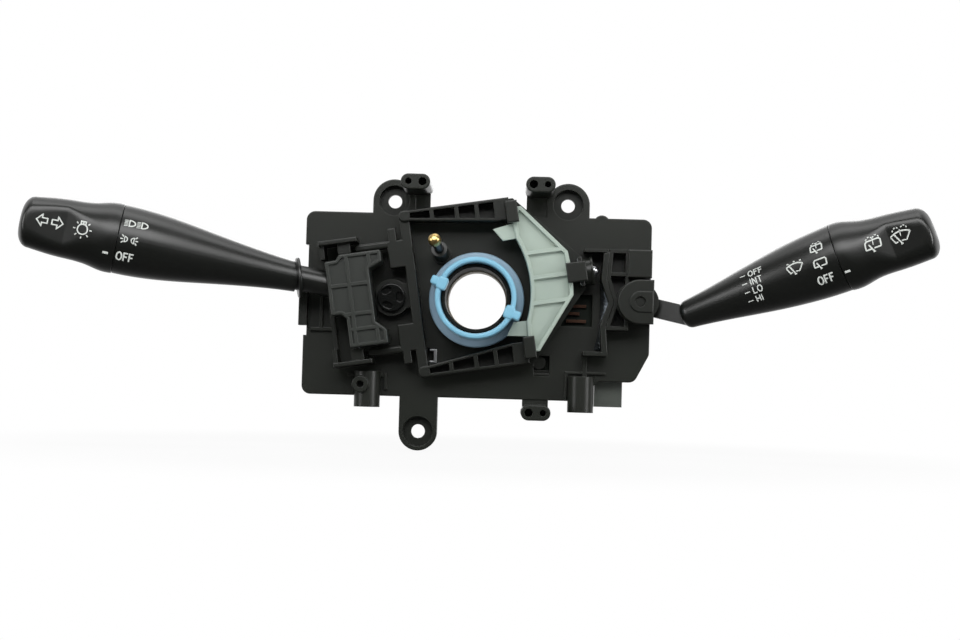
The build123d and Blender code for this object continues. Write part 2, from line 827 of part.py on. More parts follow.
def dimmer_plunger():
    """Sprung plunger behind the lever block's tongue; it works the dimmer contact."""
    head_front = tongue_back - free_gap
    body = prism(disc(dimmer_at, dimmer_head_radius), head_front - dimmer_head, head_front)
    return body + prism(disc(dimmer_at, dimmer_stem_radius), dimmer_end, head_front - dimmer_head)


def slider_centre():
    """Level of the contact slider at rest, where the frame's drive pin holds it."""
    return drive_pin_arm * sin(radians(turn_rest))


def turn_slider():
    """Contact slider behind the plate that the frame's drive pin moves up and down."""
    z = slider_centre()
    x = pivot_x + drive_pin_arm * cos(radians(turn_rest))
    body = prism(rectangle(x - slider_half_width, z - slider_half_height, x + slider_half_width,
                           z + slider_half_height), slider_back, slider_front)
    width = drive_pin_radius + free_gap
    height = drive_pin_radius + running_fit
    return body - prism(rectangle(x - width, z - height, x + width, z + height), slider_back, slider_front)


def slider_bridge():
    """Two copper bridges on the back of the contact slider."""
    z = slider_centre()
    x = pivot_x + drive_pin_arm * cos(radians(turn_rest))
    bridges = []
    for level in (z - bridge_offset, z + bridge_offset):
        bridge = rectangle(x - slider_half_width, level - 1.0, x + slider_half_width, level + 1.0)
        bridges.append(prism(bridge, slider_back - slider_contact, slider_back))
    return Compound(bridges)


def profile_solid(points):
    """Body of revolution along a stalk's axis through (distance, radius) points."""
    first, last = points[0], points[-1]
    curve = Spline(*[(radius, along) for along, radius in points])
    sides = Polyline((last[1], last[0]), (0, last[0]), (0, first[0]), (first[1], first[0]))
    return revolve(Plane.XZ * make_face(curve + sides), axis=Axis.Z)


def left_handle():
    """Handle moulding of the left stalk, with its collar, shank and the bore for the knob's rod."""
    body = profile_solid(left_profile)
    body += bore(left_shank_start, left_profile[0][0] - left_shank_start, left_shank_radius)
    collar = fillet(Cylinder(collar_radius, collar_thickness).edges().filter_by(GeomType.CIRCLE),
                    collar_thickness / 2.4)
    body += Pos(0, 0, collar_at + collar_thickness / 2) * Rot(collar_tilt, 0, 0) * collar
    body -= bore(left_shank_start, left_seam - left_shank_start, rod_radius + running_fit)
    body -= bore(left_seam - spigot_length - free_gap, spigot_length + free_gap, spigot_radius + running_fit)
    body -= bore(left_shank_start, rotor_thickness + 2 * free_gap, rotor_radius + free_gap)
    return turned(left_plane * body)


def knob(seam, tip, radii, tilt):
    """Rotating knob, its grip tilted a little off the axis, with two finger flats and the spigot."""
    base, swell, neck, grip, end = radii
    reach = tip - seam
    cap_start = reach - knob_tip_round
    curve = Spline((base, -2.0), (swell, knob_swell), (neck, knob_neck), (grip, (knob_neck + cap_start) / 2),
                   (end, cap_start))
    cap = JernArc(start=curve @ 1, tangent=curve % 1, radius=knob_tip_round, arc_size=80)
    sides = Polyline(cap @ 1, (0, (cap @ 1).Y), (0, -2.0), (base, -2.0))
    body = revolve(Plane.XZ * make_face(curve + cap + sides), axis=Axis.Z)
    far = 2 * base
    flat = polygon((knob_flat, knob_flat_start + knob_flat_ramp), (knob_flat, reach + 1.0), (far, reach + 1.0),
                   (far, knob_flat_start), (swell, knob_flat_start))
    for outline in (flat, mirror(flat, about=Plane.YZ)):
        body -= extrude(Plane.XZ * outline, far, both=True)
    body = Pos(0, 0, seam) * Rot(tilt, 0, 0) * body
    body -= bore(seam + seam_gap - 10.0, 10.0, far)
    return body + bore(seam - spigot_length, spigot_length + seam_gap, spigot_radius)


def knob_rod(seam, rod_start):
    """Rod that carries the knob's turn to the contact rotor at its inner end."""
    return bore(rod_start, seam - spigot_length - rod_start, rod_radius) + bore(
        rod_start, rotor_thickness, rotor_radius)


def light_contact_disc():
    """Fixed contact disc at the inner end of the left shank."""
    return turned(left_plane * bore(left_shank_start - contact_disc, contact_disc, left_shank_radius))


def arm_plane():
    """Plane of the wiper arm: x along the arm, y along the washer hinge pin."""
    fall, lean = radians(arm_fall), radians(arm_lean)
    along = Vector(cos(fall) * cos(lean), -sin(lean), -sin(fall) * cos(lean))
    pin = Vector(sin(fall), 0, cos(fall))
    return Plane(origin=(wiper_x, -arm_mid, wiper_z), x_dir=along, z_dir=along.cross(pin))


def arm_blank():
    """The wiper arm before its pin hole is made."""
    half = arm_height / 2
    outline = rectangle(-arm_tail, -half - arm_drop, arm_length, half - arm_drop, corner=1.2)
    return extrude(arm_plane() * outline, arm_thickness / 2, both=True)


def wiper_arm():
    """Flat arm from the washer hinge pin into the right handle."""
    return arm_blank() - washer_cylinder(washer_pin_radius + running_fit)


def washer_cylinder(radius):
    """Cylinder on the washer hinge axis, as long as the pin."""
    pin = arm_plane().y_dir
    return rod(Vector(wiper_x, -arm_mid, wiper_z) - pin * washer_pin_half, pin, radius, 2 * washer_pin_half)


def right_handle():
    """Handle moulding of the right stalk, closed round the end of its flat arm."""
    body = profile_solid(right_profile)
    end = body.edges().filter_by(GeomType.CIRCLE).sort_by(Axis.Z)[0]
    body = fillet(end, right_end_round)
    body -= bore(right_seam - spigot_length - free_gap, spigot_length + free_gap, spigot_radius + running_fit)
    body -= bore(rear_rod_start(), right_rod_length, rod_radius + running_fit)
    cavity = contact_disc + rotor_thickness + 2 * free_gap
    body -= bore(rear_rod_start() - contact_disc - free_gap, cavity, rotor_radius + free_gap)
    return right_plane * body - arm_blank()


def rear_rod_start():
    """Distance along the right stalk where the rod's rotor begins."""
    return right_seam - right_rod_length


def rear_contact_disc():
    """Fixed contact disc in the right handle, facing the rotor."""
    start = rear_rod_start() - contact_disc - free_gap
    return right_plane * bore(start, contact_disc, rotor_radius + free_gap)


def pawl_outline():
    """Cancelling pawl without its fingers, seen face on."""
    upper = (finger_root, pawl_neck, pawl_end_inner, pawl_end, pawl_shoulder, pawl_nose)
    lower = [(x, -z) for x, z in reversed(upper)]
    arc = ThreePointArc(lower[-1], (pawl_waist_x, 0), finger_root)
    return make_face(arc + Polyline(*upper, *lower))


def cancel_pawl():
    """Cancelling pawl: ribbed plate with two fingers that lie in front of the ring's flange."""
    outline = pawl_outline()
    body = soft_prism(outline, pawl_back, pawl_front)
    pockets = offset(outline, -pawl_border, kind=Kind.INTERSECTION)
    for z in (-pawl_rib_z, 0, pawl_rib_z):
        pockets -= rectangle(pawl_waist_x - 10.0, z - pawl_rib / 2, pawl_nose[0] + 5.0, z + pawl_rib / 2)
    body -= prism(pockets, pawl_front - pawl_recess, pawl_front)
    finger = polygon(pawl_neck, finger_tip_outer, finger_tip_inner, finger_root,
                     (finger_root[0] + finger_overlap, finger_root[1] + finger_overlap),
                     (pawl_neck[0] + finger_overlap, pawl_neck[1]))
    for half in (finger, flipped(finger)):
        body += prism(half, finger_back, finger_front)
    return turned(body)


def pawl_spring():
    """Bowed leaf spring between the plunger holder and the pawl's nose."""
    reach = holder_left - pawl_nose[0] - free_gap
    bow = [(holder_left - leaf_metal, -leaf_half + leaf_foot), (holder_left - reach, -0.8),
           (holder_left - reach, 0.8), (holder_left - leaf_metal, leaf_half - leaf_foot)]
    front = [(x + leaf_metal, z) for x, z in reversed(bow)]
    front[0] = (holder_left, leaf_half - leaf_foot)
    front[-1] = (holder_left, -leaf_half + leaf_foot)
    strip = polygon(*bow, *front)
    for side in (1, -1):
        strip += rectangle(holder_left - leaf_metal, side * (leaf_half - leaf_foot - 0.2), holder_left,
                           side * leaf_half)
    return turned(prism(strip, deck_front + 1.5, deck_front + 6.5))


def detent_plunger():
    """Plunger that slides in the frame's nose and holds the detent ball in its cup."""
    body = rod((plunger_left, -plunger_height, 0), (1, 0, 0), plunger_radius, ball_x - plunger_left)
    return turned(body - Pos(ball_x, -plunger_height, 0) * Sphere(ball_radius))


def detent_ball():
    """Steel ball that rides on the detent cam."""
    return turned(Pos(ball_x, -plunger_height, 0) * Sphere(ball_radius))


def detent_spring():
    """Coil spring behind the detent plunger."""
    return turned(coil((plunger_seat, -plunger_height, 0), (1, 0, 0), detent_spring_radius,
                       plunger_left - plunger_seat, 2))


def cam_edge(extra):
    """Zigzag of the detent cam round the pivot, from the lower end to the upper."""
    points = []
    for index in range(-2, 3):
        radius = detent_valley if index % 2 == 0 else detent_peak
        tail = detent_tail * index / 2 if abs(index) == 2 else 0
        angle = radians(index * detent_step + tail)
        points.append((pivot_x + (radius + extra) * cos(angle), (radius + extra) * sin(angle)))
    return points


def detent_cam():
    """Wall with three hollows for the detent ball, its foot and its upper return."""
    inner, outer = cam_edge(0), cam_edge(cam_thickness)
    body = soft_prism(polygon(*inner, *reversed(outer)), plate_front, cam_front, 0.4)
    foot = rectangle(cam_foot_left, cam_foot_low, cam_foot_right, cam_foot_high)
    top = rectangle(cam_top_left, cam_top_low, outer[-1][0] - 0.6, cam_top_high)
    return body + prism(foot, plate_front, cam_front) + prism(top, plate_front, cam_front)


def housing_outline():
    """Wiper housing seen face on; its left side follows the back of the detent cam."""
    outer = cam_edge(cam_thickness)
    lower, middle, upper, top = outer[1], outer[2], outer[3], outer[4]
    share = (housing_bottom - lower[1]) / (outer[0][1] - lower[1])
    foot_x = lower[0] + share * (outer[0][0] - lower[0])
    return polygon(
        (foot_x, housing_bottom), (housing_right, housing_bottom), (housing_right, housing_top),
        (top[0], housing_top), top, upper, middle, lower)


def wiper_housing():
    """Moulded housing with open pockets, the carrier's well with its detent scallops and a raised block."""
    outline = housing_outline()
    pivot = (wiper_x, wiper_z)
    well = carrier_radius + 2 * running_fit + free_gap
    body = prism(outline, plate_front, housing_front)
    pockets = offset(outline, -housing_wall, kind=Kind.INTERSECTION)
    for z in housing_ribs:
        pockets -= rectangle(wiper_x - 25.0, z - 0.8, wiper_x, z + 0.8)
    pockets -= disc(pivot, well + well_wall)
    body -= prism(pockets, housing_floor, housing_front)
    block = soft_prism(rectangle(*raised_block), plate_front, raised_block_front)
    body = body + block - prism(disc(pivot, well), plate_front, raised_block_front)
    for index in range(scallop_count):
        angle = radians(180 - arm_fall - index * wiper_step)
        notch = (wiper_x + well * cos(angle), wiper_z + well * sin(angle))
        body -= prism(disc(notch, scallop_radius), plate_front, housing_front)
    return body


def pivot_cover():
    """D-shaped cover over the wiper carrier, standing on the wall of its well."""
    pivot = (wiper_x, wiper_z)
    outline = disc(pivot, pivot_cover_radius) + rectangle(
        wiper_x, wiper_z - pivot_cover_radius, pivot_cover_right, wiper_z + pivot_cover_radius)
    outline &= rectangle(0, -50, pivot_cover_right, 50)
    body = soft_prism(outline, cover_back, cover_back + pivot_cover_thickness)
    pad = disc(pivot, cover_pad_radius) + rectangle(
        wiper_x, wiper_z - cover_pad_radius, pivot_cover_right - edge_round, wiper_z + cover_pad_radius)
    body += soft_prism(pad, cover_back + 1.0, cover_back + pivot_cover_thickness + cover_pad, 0.3)
    wall = disc(pivot, pivot_cover_radius) - disc(pivot, carrier_radius + 2 * running_fit + free_gap)
    wall &= rectangle(0, -50, housing_right - 0.4, 50)
    body += prism(wall, housing_front, cover_back)
    return body - prism(disc(pivot, trunnion_radius + running_fit), cover_back,
                        cover_back + pivot_cover_thickness + cover_pad)


def wiper_carrier():
    """Carrier that turns on two trunnions, with a slot in which the arm swings on the washer pin."""
    pivot = (wiper_x, wiper_z)
    body = prism(disc(pivot, carrier_radius), carrier_back, carrier_front)
    slot = rectangle(-carrier_slot_tail, -carrier_slot_half, 2 * carrier_radius, carrier_slot_half)
    body -= prism(Pos(*pivot) * Rot(0, 0, -arm_fall) * slot, carrier_slot_back, carrier_slot_front)
    body += prism(disc(pivot, trunnion_radius), wall_back, carrier_back)
    body += prism(disc(pivot, trunnion_radius), carrier_front, carrier_front + trunnion_front)
    body -= washer_cylinder(washer_pin_radius)
    seat = detent_point(detent_seat)
    return body - rod(seat, detent_way(), detent_ball_radius + running_fit, carrier_radius)


def detent_way():
    """Direction from the wiper pivot to its detent ball, away from the arm."""
    angle = radians(180 - arm_fall)
    return Vector(cos(angle), 0, sin(angle))


def detent_point(distance):
    """Point at a distance from the wiper pivot on the detent ball's way."""
    return Vector(wiper_x, -detent_ball_height, wiper_z) + detent_way() * distance


def wiper_ball_distance():
    """Distance of the wiper's detent ball from its pivot."""
    return carrier_radius + 2 * running_fit - detent_ball_radius


def wiper_ball():
    """Small steel ball that clicks in the scallops of the well."""
    return Pos(*detent_point(wiper_ball_distance())) * Sphere(detent_ball_radius)


def wiper_ball_spring():
    """Coil spring behind the wiper's detent ball."""
    length = wiper_ball_distance() - detent_ball_radius - detent_seat
    return coil(detent_point(detent_seat), detent_way(), wiper_spring_radius, length, 2, wiper_spring_wire)


def wiper_moving_contact():
    """Copper contact arm on the back of the carrier's trunnion."""
    pivot = (wiper_x, wiper_z)
    outline = rectangle(wiper_x - contact_arm_length, wiper_z - contact_arm_half,
                        wiper_x, wiper_z + contact_arm_half)
    outline += disc(pivot, contact_arm_half)
    body = prism(outline, board_front + free_gap, wall_back - free_gap)
    return body + prism(disc(pivot, contact_arm_half), wall_back - free_gap, wall_back)


def case_outline(side):
    """Outline of a rear case."""
    if side == "left":
        return rectangle(*left_case)
    left, low, right, high = right_case
    cut_x, cut_z = right_case_chamfer
    return polygon((left, low), (right - cut_x, low), (right, low + cut_z), (right, high), (left, high))


def case_columns(side):
    """Centres of a rear case's screw columns."""
    left, low, right, high = left_case if side == "left" else right_case
    inset = case_column_inset
    far = right - inset if side == "left" else right - right_case_chamfer[0] - inset
    upper = high - inset
    return [(left + inset, low + inset), (far, low + inset), (left + inset, upper), (right - inset, upper)]


def rear_case(side):
    """Moulded case behind the plate with four screw columns."""
    outline = case_outline(side)
    body = prism(outline, case_back, wall_back)
    body -= prism(offset(outline, -case_wall, kind=Kind.INTERSECTION), case_back + case_wall, wall_back)
    for centre in case_columns(side):
        body += prism(disc(centre, case_column_radius), case_back, wall_back)
        body -= prism(disc(centre, screw_radius), case_back, case_back + screw_length)
    return body


def contact_board(side):
    """Contact board in a rear case, cut round the screw columns."""
    outline = offset(case_outline(side), -case_wall - board_margin, kind=Kind.INTERSECTION)
    for centre in case_columns(side):
        outline -= disc(centre, case_column_radius + board_margin)
    return prism(outline, board_front - board_thickness, board_front)


def fixed_contacts(blades):
    """Copper contact strips on the front of a board."""
    strips = []
    for left, z, right in blades:
        strips.append(prism(rectangle(left, z - blade_width / 2, right, z + blade_width / 2),
                            board_front, board_front + blade_height))
    return Compound(strips)


def terminals(connector, top, count):
    """Row of terminal pins in a connector."""
    left, right, length = connector
    middle = (connector_front + case_back) / 2
    pitch = (right - left - 2 * connector_wall) / count
    pins = []
    for index in range(count):
        x = left + connector_wall + (index + 0.5) * pitch
        outline = rectangle(x - terminal_width / 2, top - connector_floor - terminal_length,
                            x + terminal_width / 2, top)
        pins.append(prism(outline, middle - terminal_width / 2, middle + terminal_width / 2))
    return Compound(pins)


def connector_shell(connector, top, pins):
    """Connector housing below a rear case, open downwards."""
    left, right, length = connector
    body = prism(rectangle(left, top - length, right, top), case_back, connector_front)
    cavity = rectangle(left + connector_wall, top - length, right - connector_wall, top - connector_floor)
    body -= prism(cavity, case_back + connector_wall, connector_front - connector_wall)
    for pin in pins.solids():
        body -= pin
    return body


def case_screws():
    """Screws that hold both rear cases, with crossed recesses in their heads."""
    screws = []
    for side in ("left", "right"):
        for centre in case_columns(side):
            screw = prism(disc(centre, screw_head_radius), case_back - screw_head, case_back)
            screw += prism(disc(centre, screw_radius), case_back, case_back + screw_length)
            for width, height in (screw_recess, screw_recess[::-1]):
                cross = Pos(*centre) * Rectangle(width, height)
                screw -= prism(cross, case_back - screw_head, case_back - screw_head + screw_recess_depth)
            screws.append(screw)
    return Compound([solid for screw in screws for solid in screw.solids()])


def horn_way():
    """Unit vector of the horn contact, which leans up and to the left."""
    return Vector(tan(radians(horn_lean_side)), -1, tan(radians(horn_lean_up))).normalized()


def horn_point(distance):
    """Point on the horn contact's axis at a distance from the plate's front."""
    return Vector(horn_base[0], -plate_front, horn_base[1]) + horn_way() * distance


def horn_boss():
    """Leaning guide tube of the horn contact, cut flush with its seat."""
    body = rod(horn_point(-4.0), horn_way(), horn_boss_radius, horn_boss_end + 4.0)
    body -= rod(horn_point(-4.0), horn_way(), horn_stem_radius + running_fit, horn_boss_end + 4.0)
    return body - prism(disc(horn_base, 4 * horn_boss_radius), 0, plate_front + horn_seat_height)


def horn_pin():
    """Sprung horn contact with a domed brass head."""
    body = rod(horn_point(horn_stem_start), horn_way(), horn_stem_radius, horn_head_start - horn_stem_start)
    head = rod(horn_point(horn_head_start), horn_way(), horn_head_radius, horn_tip - horn_head_start)
    return body + fillet(head.edges().sort_by(Axis.Y)[0], horn_head_radius - 0.4)


def horn_spring():
    """Coil spring under the horn contact."""
    length = horn_stem_start - horn_spring_start
    return coil(horn_point(horn_spring_start), horn_way(), horn_spring_radius, length, 4)


left_pins = terminals(left_connector, left_case[1], left_terminal_count)
right_pins = terminals(right_connector, right_case[1], right_terminal_count)
nodes = {
    "base_plate": base_plate(),
    "window_clip": window_clip(),
    "column_hub": column_hub(),
    "column_bush": column_bush(),
    "cancel_ring": cancel_ring(),
    "pivot_clip": pivot_clip(),
    "turn_frame": turn_frame(),
    "lever_yoke": lever_yoke(),
    "hinge_pin_upper": hinge_pin(1),
    "hinge_pin_lower": hinge_pin(-1),
    "lever_block": lever_block(),
    "block_cover": block_cover(),
    "dimmer_plunger": dimmer_plunger(),
    "turn_slider": turn_slider(),
    "slider_bridge": slider_bridge(),
    "light_handle": left_handle(),
    "light_knob": turned(left_plane * knob(left_seam, left_tip, left_knob_radii, left_knob_tilt)),
    "light_rod": turned(left_plane * knob_rod(left_seam, left_shank_start + free_gap)),
    "light_contact_disc": light_contact_disc(),
    "cancel_pawl": cancel_pawl(),
    "pawl_spring": pawl_spring(),
    "detent_plunger": detent_plunger(),
    "detent_ball": detent_ball(),
    "detent_spring": detent_spring(),
    "detent_cam": detent_cam(),
    "wiper_housing": wiper_housing(),
    "pivot_cover": pivot_cover(),
    "wiper_carrier": wiper_carrier(),
    "wiper_ball": wiper_ball(),
    "wiper_ball_spring": wiper_ball_spring(),
    "wiper_moving_contact": wiper_moving_contact(),
    "washer_pin": washer_cylinder(washer_pin_radius),
    "wiper_arm": wiper_arm(),
    "wiper_handle": right_handle(),
    "rear_knob": right_plane * knob(right_seam, right_tip, right_knob_radii, right_knob_tilt),
    "rear_rod": right_plane * knob_rod(right_seam, rear_rod_start()),
    "rear_contact_disc": rear_contact_disc(),
    "left_case": rear_case("left"),
    "right_case": rear_case("right"),
    "left_board": contact_board("left"),
    "right_board": contact_board("right"),
    "left_contacts": fixed_contacts(left_blades),
    "right_contacts": fixed_contacts(right_blades),
    "left_terminals": left_pins,
    "right_terminals": right_pins,
    "left_connector": connector_shell(left_connector, left_case[1], left_pins),
    "right_connector": connector_shell(right_connector, right_case[1], right_pins),
    "case_screws": case_screws(),
    "horn_boss": horn_boss(),
    "horn_pin": horn_pin(),
    "horn_spring": horn_spring(),
}
os.makedirs("parts", exist_ok=True)
for name, shape in nodes.items():
    export_step(shape, "parts/" + name + ".step")
    print(name, len(shape.solids()), "solid", round(shape.volume, 1), "mm3")
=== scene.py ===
"""Looks of a steering-column combination switch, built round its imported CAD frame.

All sizes are metres in the part's own frame: X to the driver's right, Z up and the driver at -Y.
Sizes written in millimetres are multiplied by MM where they become geometry.
"""
from __future__ import annotations

import json
import logging
from dataclasses import dataclass, field
from enum import Enum
from math import cos, pi, radians, sin, tan

import bmesh
import bpy
import numpy as np
from mathutils import Matrix, Vector

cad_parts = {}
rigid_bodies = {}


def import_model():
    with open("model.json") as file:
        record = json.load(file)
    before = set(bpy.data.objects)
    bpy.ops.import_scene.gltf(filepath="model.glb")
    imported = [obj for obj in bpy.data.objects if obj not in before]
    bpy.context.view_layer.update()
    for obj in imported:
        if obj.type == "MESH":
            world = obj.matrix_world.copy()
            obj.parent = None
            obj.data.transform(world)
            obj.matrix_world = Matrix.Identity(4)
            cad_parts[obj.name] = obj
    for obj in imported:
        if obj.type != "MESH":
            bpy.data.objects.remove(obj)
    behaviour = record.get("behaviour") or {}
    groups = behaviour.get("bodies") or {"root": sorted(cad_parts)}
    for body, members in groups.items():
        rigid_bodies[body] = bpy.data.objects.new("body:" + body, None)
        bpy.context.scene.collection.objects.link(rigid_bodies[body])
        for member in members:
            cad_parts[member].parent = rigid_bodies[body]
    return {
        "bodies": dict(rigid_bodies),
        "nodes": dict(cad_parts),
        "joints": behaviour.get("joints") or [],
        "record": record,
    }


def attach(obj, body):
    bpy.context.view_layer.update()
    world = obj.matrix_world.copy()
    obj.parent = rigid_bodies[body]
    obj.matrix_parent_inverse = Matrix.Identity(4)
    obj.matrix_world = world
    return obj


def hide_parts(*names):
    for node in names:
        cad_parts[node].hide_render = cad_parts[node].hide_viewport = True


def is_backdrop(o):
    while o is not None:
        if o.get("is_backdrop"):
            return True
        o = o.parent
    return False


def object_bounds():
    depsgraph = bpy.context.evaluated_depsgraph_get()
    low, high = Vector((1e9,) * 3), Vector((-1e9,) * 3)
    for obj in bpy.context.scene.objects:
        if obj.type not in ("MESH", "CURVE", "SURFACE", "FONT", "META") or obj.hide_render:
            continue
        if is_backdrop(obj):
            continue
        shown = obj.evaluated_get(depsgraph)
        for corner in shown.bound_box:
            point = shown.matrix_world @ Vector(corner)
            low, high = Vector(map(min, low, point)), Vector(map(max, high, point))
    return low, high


LOG = logging.getLogger("stalk_switch")
MM = 0.001
MERGE_DISTANCE = 1e-7
CREASE_ANGLE = radians(40.0)
LINE_WIDTH = 0.55
WHITE = (1.0, 1.0, 1.0, 1.0)
Pair = tuple[float, float]
Triple = tuple[float, float, float]
Array = np.ndarray
Tree = bpy.types.NodeTree
Node = bpy.types.Node
Link = tuple[Node, str | int, Node, str | int]


class Effect(Enum):
    """Shader node groups that several finishes share."""

    MOULDED_GRAIN = "moulded_grain"
    SOFT_EDGES = "soft_edges"


def set_inputs(node: Node, **values: float | tuple[float, ...]) -> Node:
    """Sets a node's inputs.

    Args:
        node: the node.
        values: its inputs, with underscores for spaces in their names.

    Returns:
        The same node.
    """
    for name, value in values.items():
        node.inputs[name.replace("_", " ")].default_value = value
    return node


def add_node(tree: Tree, kind: str, **values: float | tuple[float, ...]) -> Node:
    """Adds a shader node and sets its inputs.

    Args:
        tree: the node tree.
        kind: the node's type without the common prefix.
        values: its inputs, with underscores for spaces in their names.

    Returns:
        The new node.
    """
    return set_inputs(tree.nodes.new("ShaderNode" + kind), **values)


def add_math(tree: Tree, operation: str) -> Node:
    """Adds a node that calculates with two numbers.

    Args:
        tree: the node tree.
        operation: what it does with the numbers.

    Returns:
        The new node.
    """
    node = add_node(tree, "Math")
    node.operation = operation
    return node


def add_colour_mix(tree: Tree, **values: tuple[float, ...]) -> Node:
    """Adds a mix of two colours.

    Args:
        tree: the node tree.
        values: its inputs, with underscores for spaces in their names.

    Returns:
        The new node.
    """
    node = add_node(tree, "Mix")
    node.data_type = "RGBA"
    return set_inputs(node, **values)


def add_smooth_range(tree: Tree, **values: float) -> Node:
    """Adds a change of range that starts and ends gently.

    Args:
        tree: the node tree.
        values: its inputs, with underscores for spaces in their names.

    Returns:
        The new node.
    """
    node = add_node(tree, "MapRange")
    node.interpolation_type = "SMOOTHSTEP"
    return set_inputs(node, **values)


def wire(tree: Tree, *links: Link) -> None:
    """Links nodes.

    Args:
        tree: the node tree.
        links: rows of a node, its output, the next node and that node's input.
    """
    for source, output, target, entry in links:
        tree.links.new(source.outputs[output], target.inputs[entry])


def make_group(effect: Effect, inputs: dict[str, float], outputs: dict[str, str]) -> Tree:
    """Makes an empty shader node group with named sockets.

    Args:
        effect: the effect that the group is for.
        inputs: socket names with their usual values.
        outputs: socket names with their socket types.

    Returns:
        The group, with an input node named "in" and an output node named "out".
    """
    tree = bpy.data.node_groups.new(effect.value, "ShaderNodeTree")
    for name, value in inputs.items():
        socket = tree.interface.new_socket(name, in_out="INPUT", socket_type="NodeSocketFloat")
        socket.default_value = value
    for name, kind in outputs.items():
        tree.interface.new_socket(name, in_out="OUTPUT", socket_type=kind)
    tree.nodes.new("NodeGroupInput").name = "in"
    tree.nodes.new("NodeGroupOutput").name = "out"
    return tree


def moulded_grain() -> Tree:
    """Fine spark-eroded grain as a height, and slow mottling of tone, on Object coordinates.

    Returns:
        The group, which puts out the height and the tone.
    """
    tree = make_group(Effect.MOULDED_GRAIN, {"Grain scale": 2400.0, "Mottle scale": 55.0},
                      {"Height": "NodeSocketFloat", "Tone": "NodeSocketFloat"})
    place = add_node(tree, "TexCoord")
    grain = add_node(tree, "TexNoise", Detail=3.0)
    mottle = add_node(tree, "TexNoise", Detail=4.0, Roughness=0.6)
    for noise, scale, result in ((grain, "Grain scale", "Height"), (mottle, "Mottle scale", "Tone")):
        wire(tree, (place, "Object", noise, "Vector"), (tree.nodes["in"], scale, noise, "Scale"),
             (noise, "Fac", tree.nodes["out"], result))
    return tree


def soft_edges() -> Tree:
    """Normal that turns smoothly over edges within a radius, and a mask of 1 on those edges.

    The mask is 1 less the dot product of both normals, times a gain.

    Returns:
        The group, which puts out the normal and the mask.
    """
    tree = make_group(Effect.SOFT_EDGES, {"Radius": 0.4 * MM, "Gain": 3.0},
                      {"Normal": "NodeSocketVector", "Edge": "NodeSocketFloat"})
    entry, result = tree.nodes["in"], tree.nodes["out"]
    bevel = add_node(tree, "Bevel")
    bevel.samples = 6
    shape = add_node(tree, "NewGeometry")
    along = add_node(tree, "VectorMath")
    along.operation = "DOT_PRODUCT"
    away = add_math(tree, "SUBTRACT")
    away.inputs[0].default_value = 1.0
    gain = add_math(tree, "MULTIPLY")
    gain.use_clamp = True
    wire(tree, (entry, "Radius", bevel, "Radius"), (bevel, "Normal", along, 0),
         (shape, "Normal", along, 1), (along, "Value", away, 1), (away, "Value", gain, 0),
         (entry, "Gain", gain, 1), (bevel, "Normal", result, "Normal"),
         (gain, "Value", result, "Edge"))
    return tree


class Effects:
    """The shared effects, built once and placed in each material."""

    def __init__(self) -> None:
        """Builds every group."""
        self.groups = {Effect.MOULDED_GRAIN: moulded_grain(), Effect.SOFT_EDGES: soft_edges()}

    def place(self, tree: Tree, effect: Effect, **values: float) -> Node:
        """Places a group in a material.

        Args:
            tree: the material's node tree.
            effect: which group.
            values: its inputs, with underscores for spaces in their names.

        Returns:
            The group's node.
        """
        node = add_node(tree, "Group")
        node.node_tree = self.groups[effect]
        return set_inputs(node, **values)


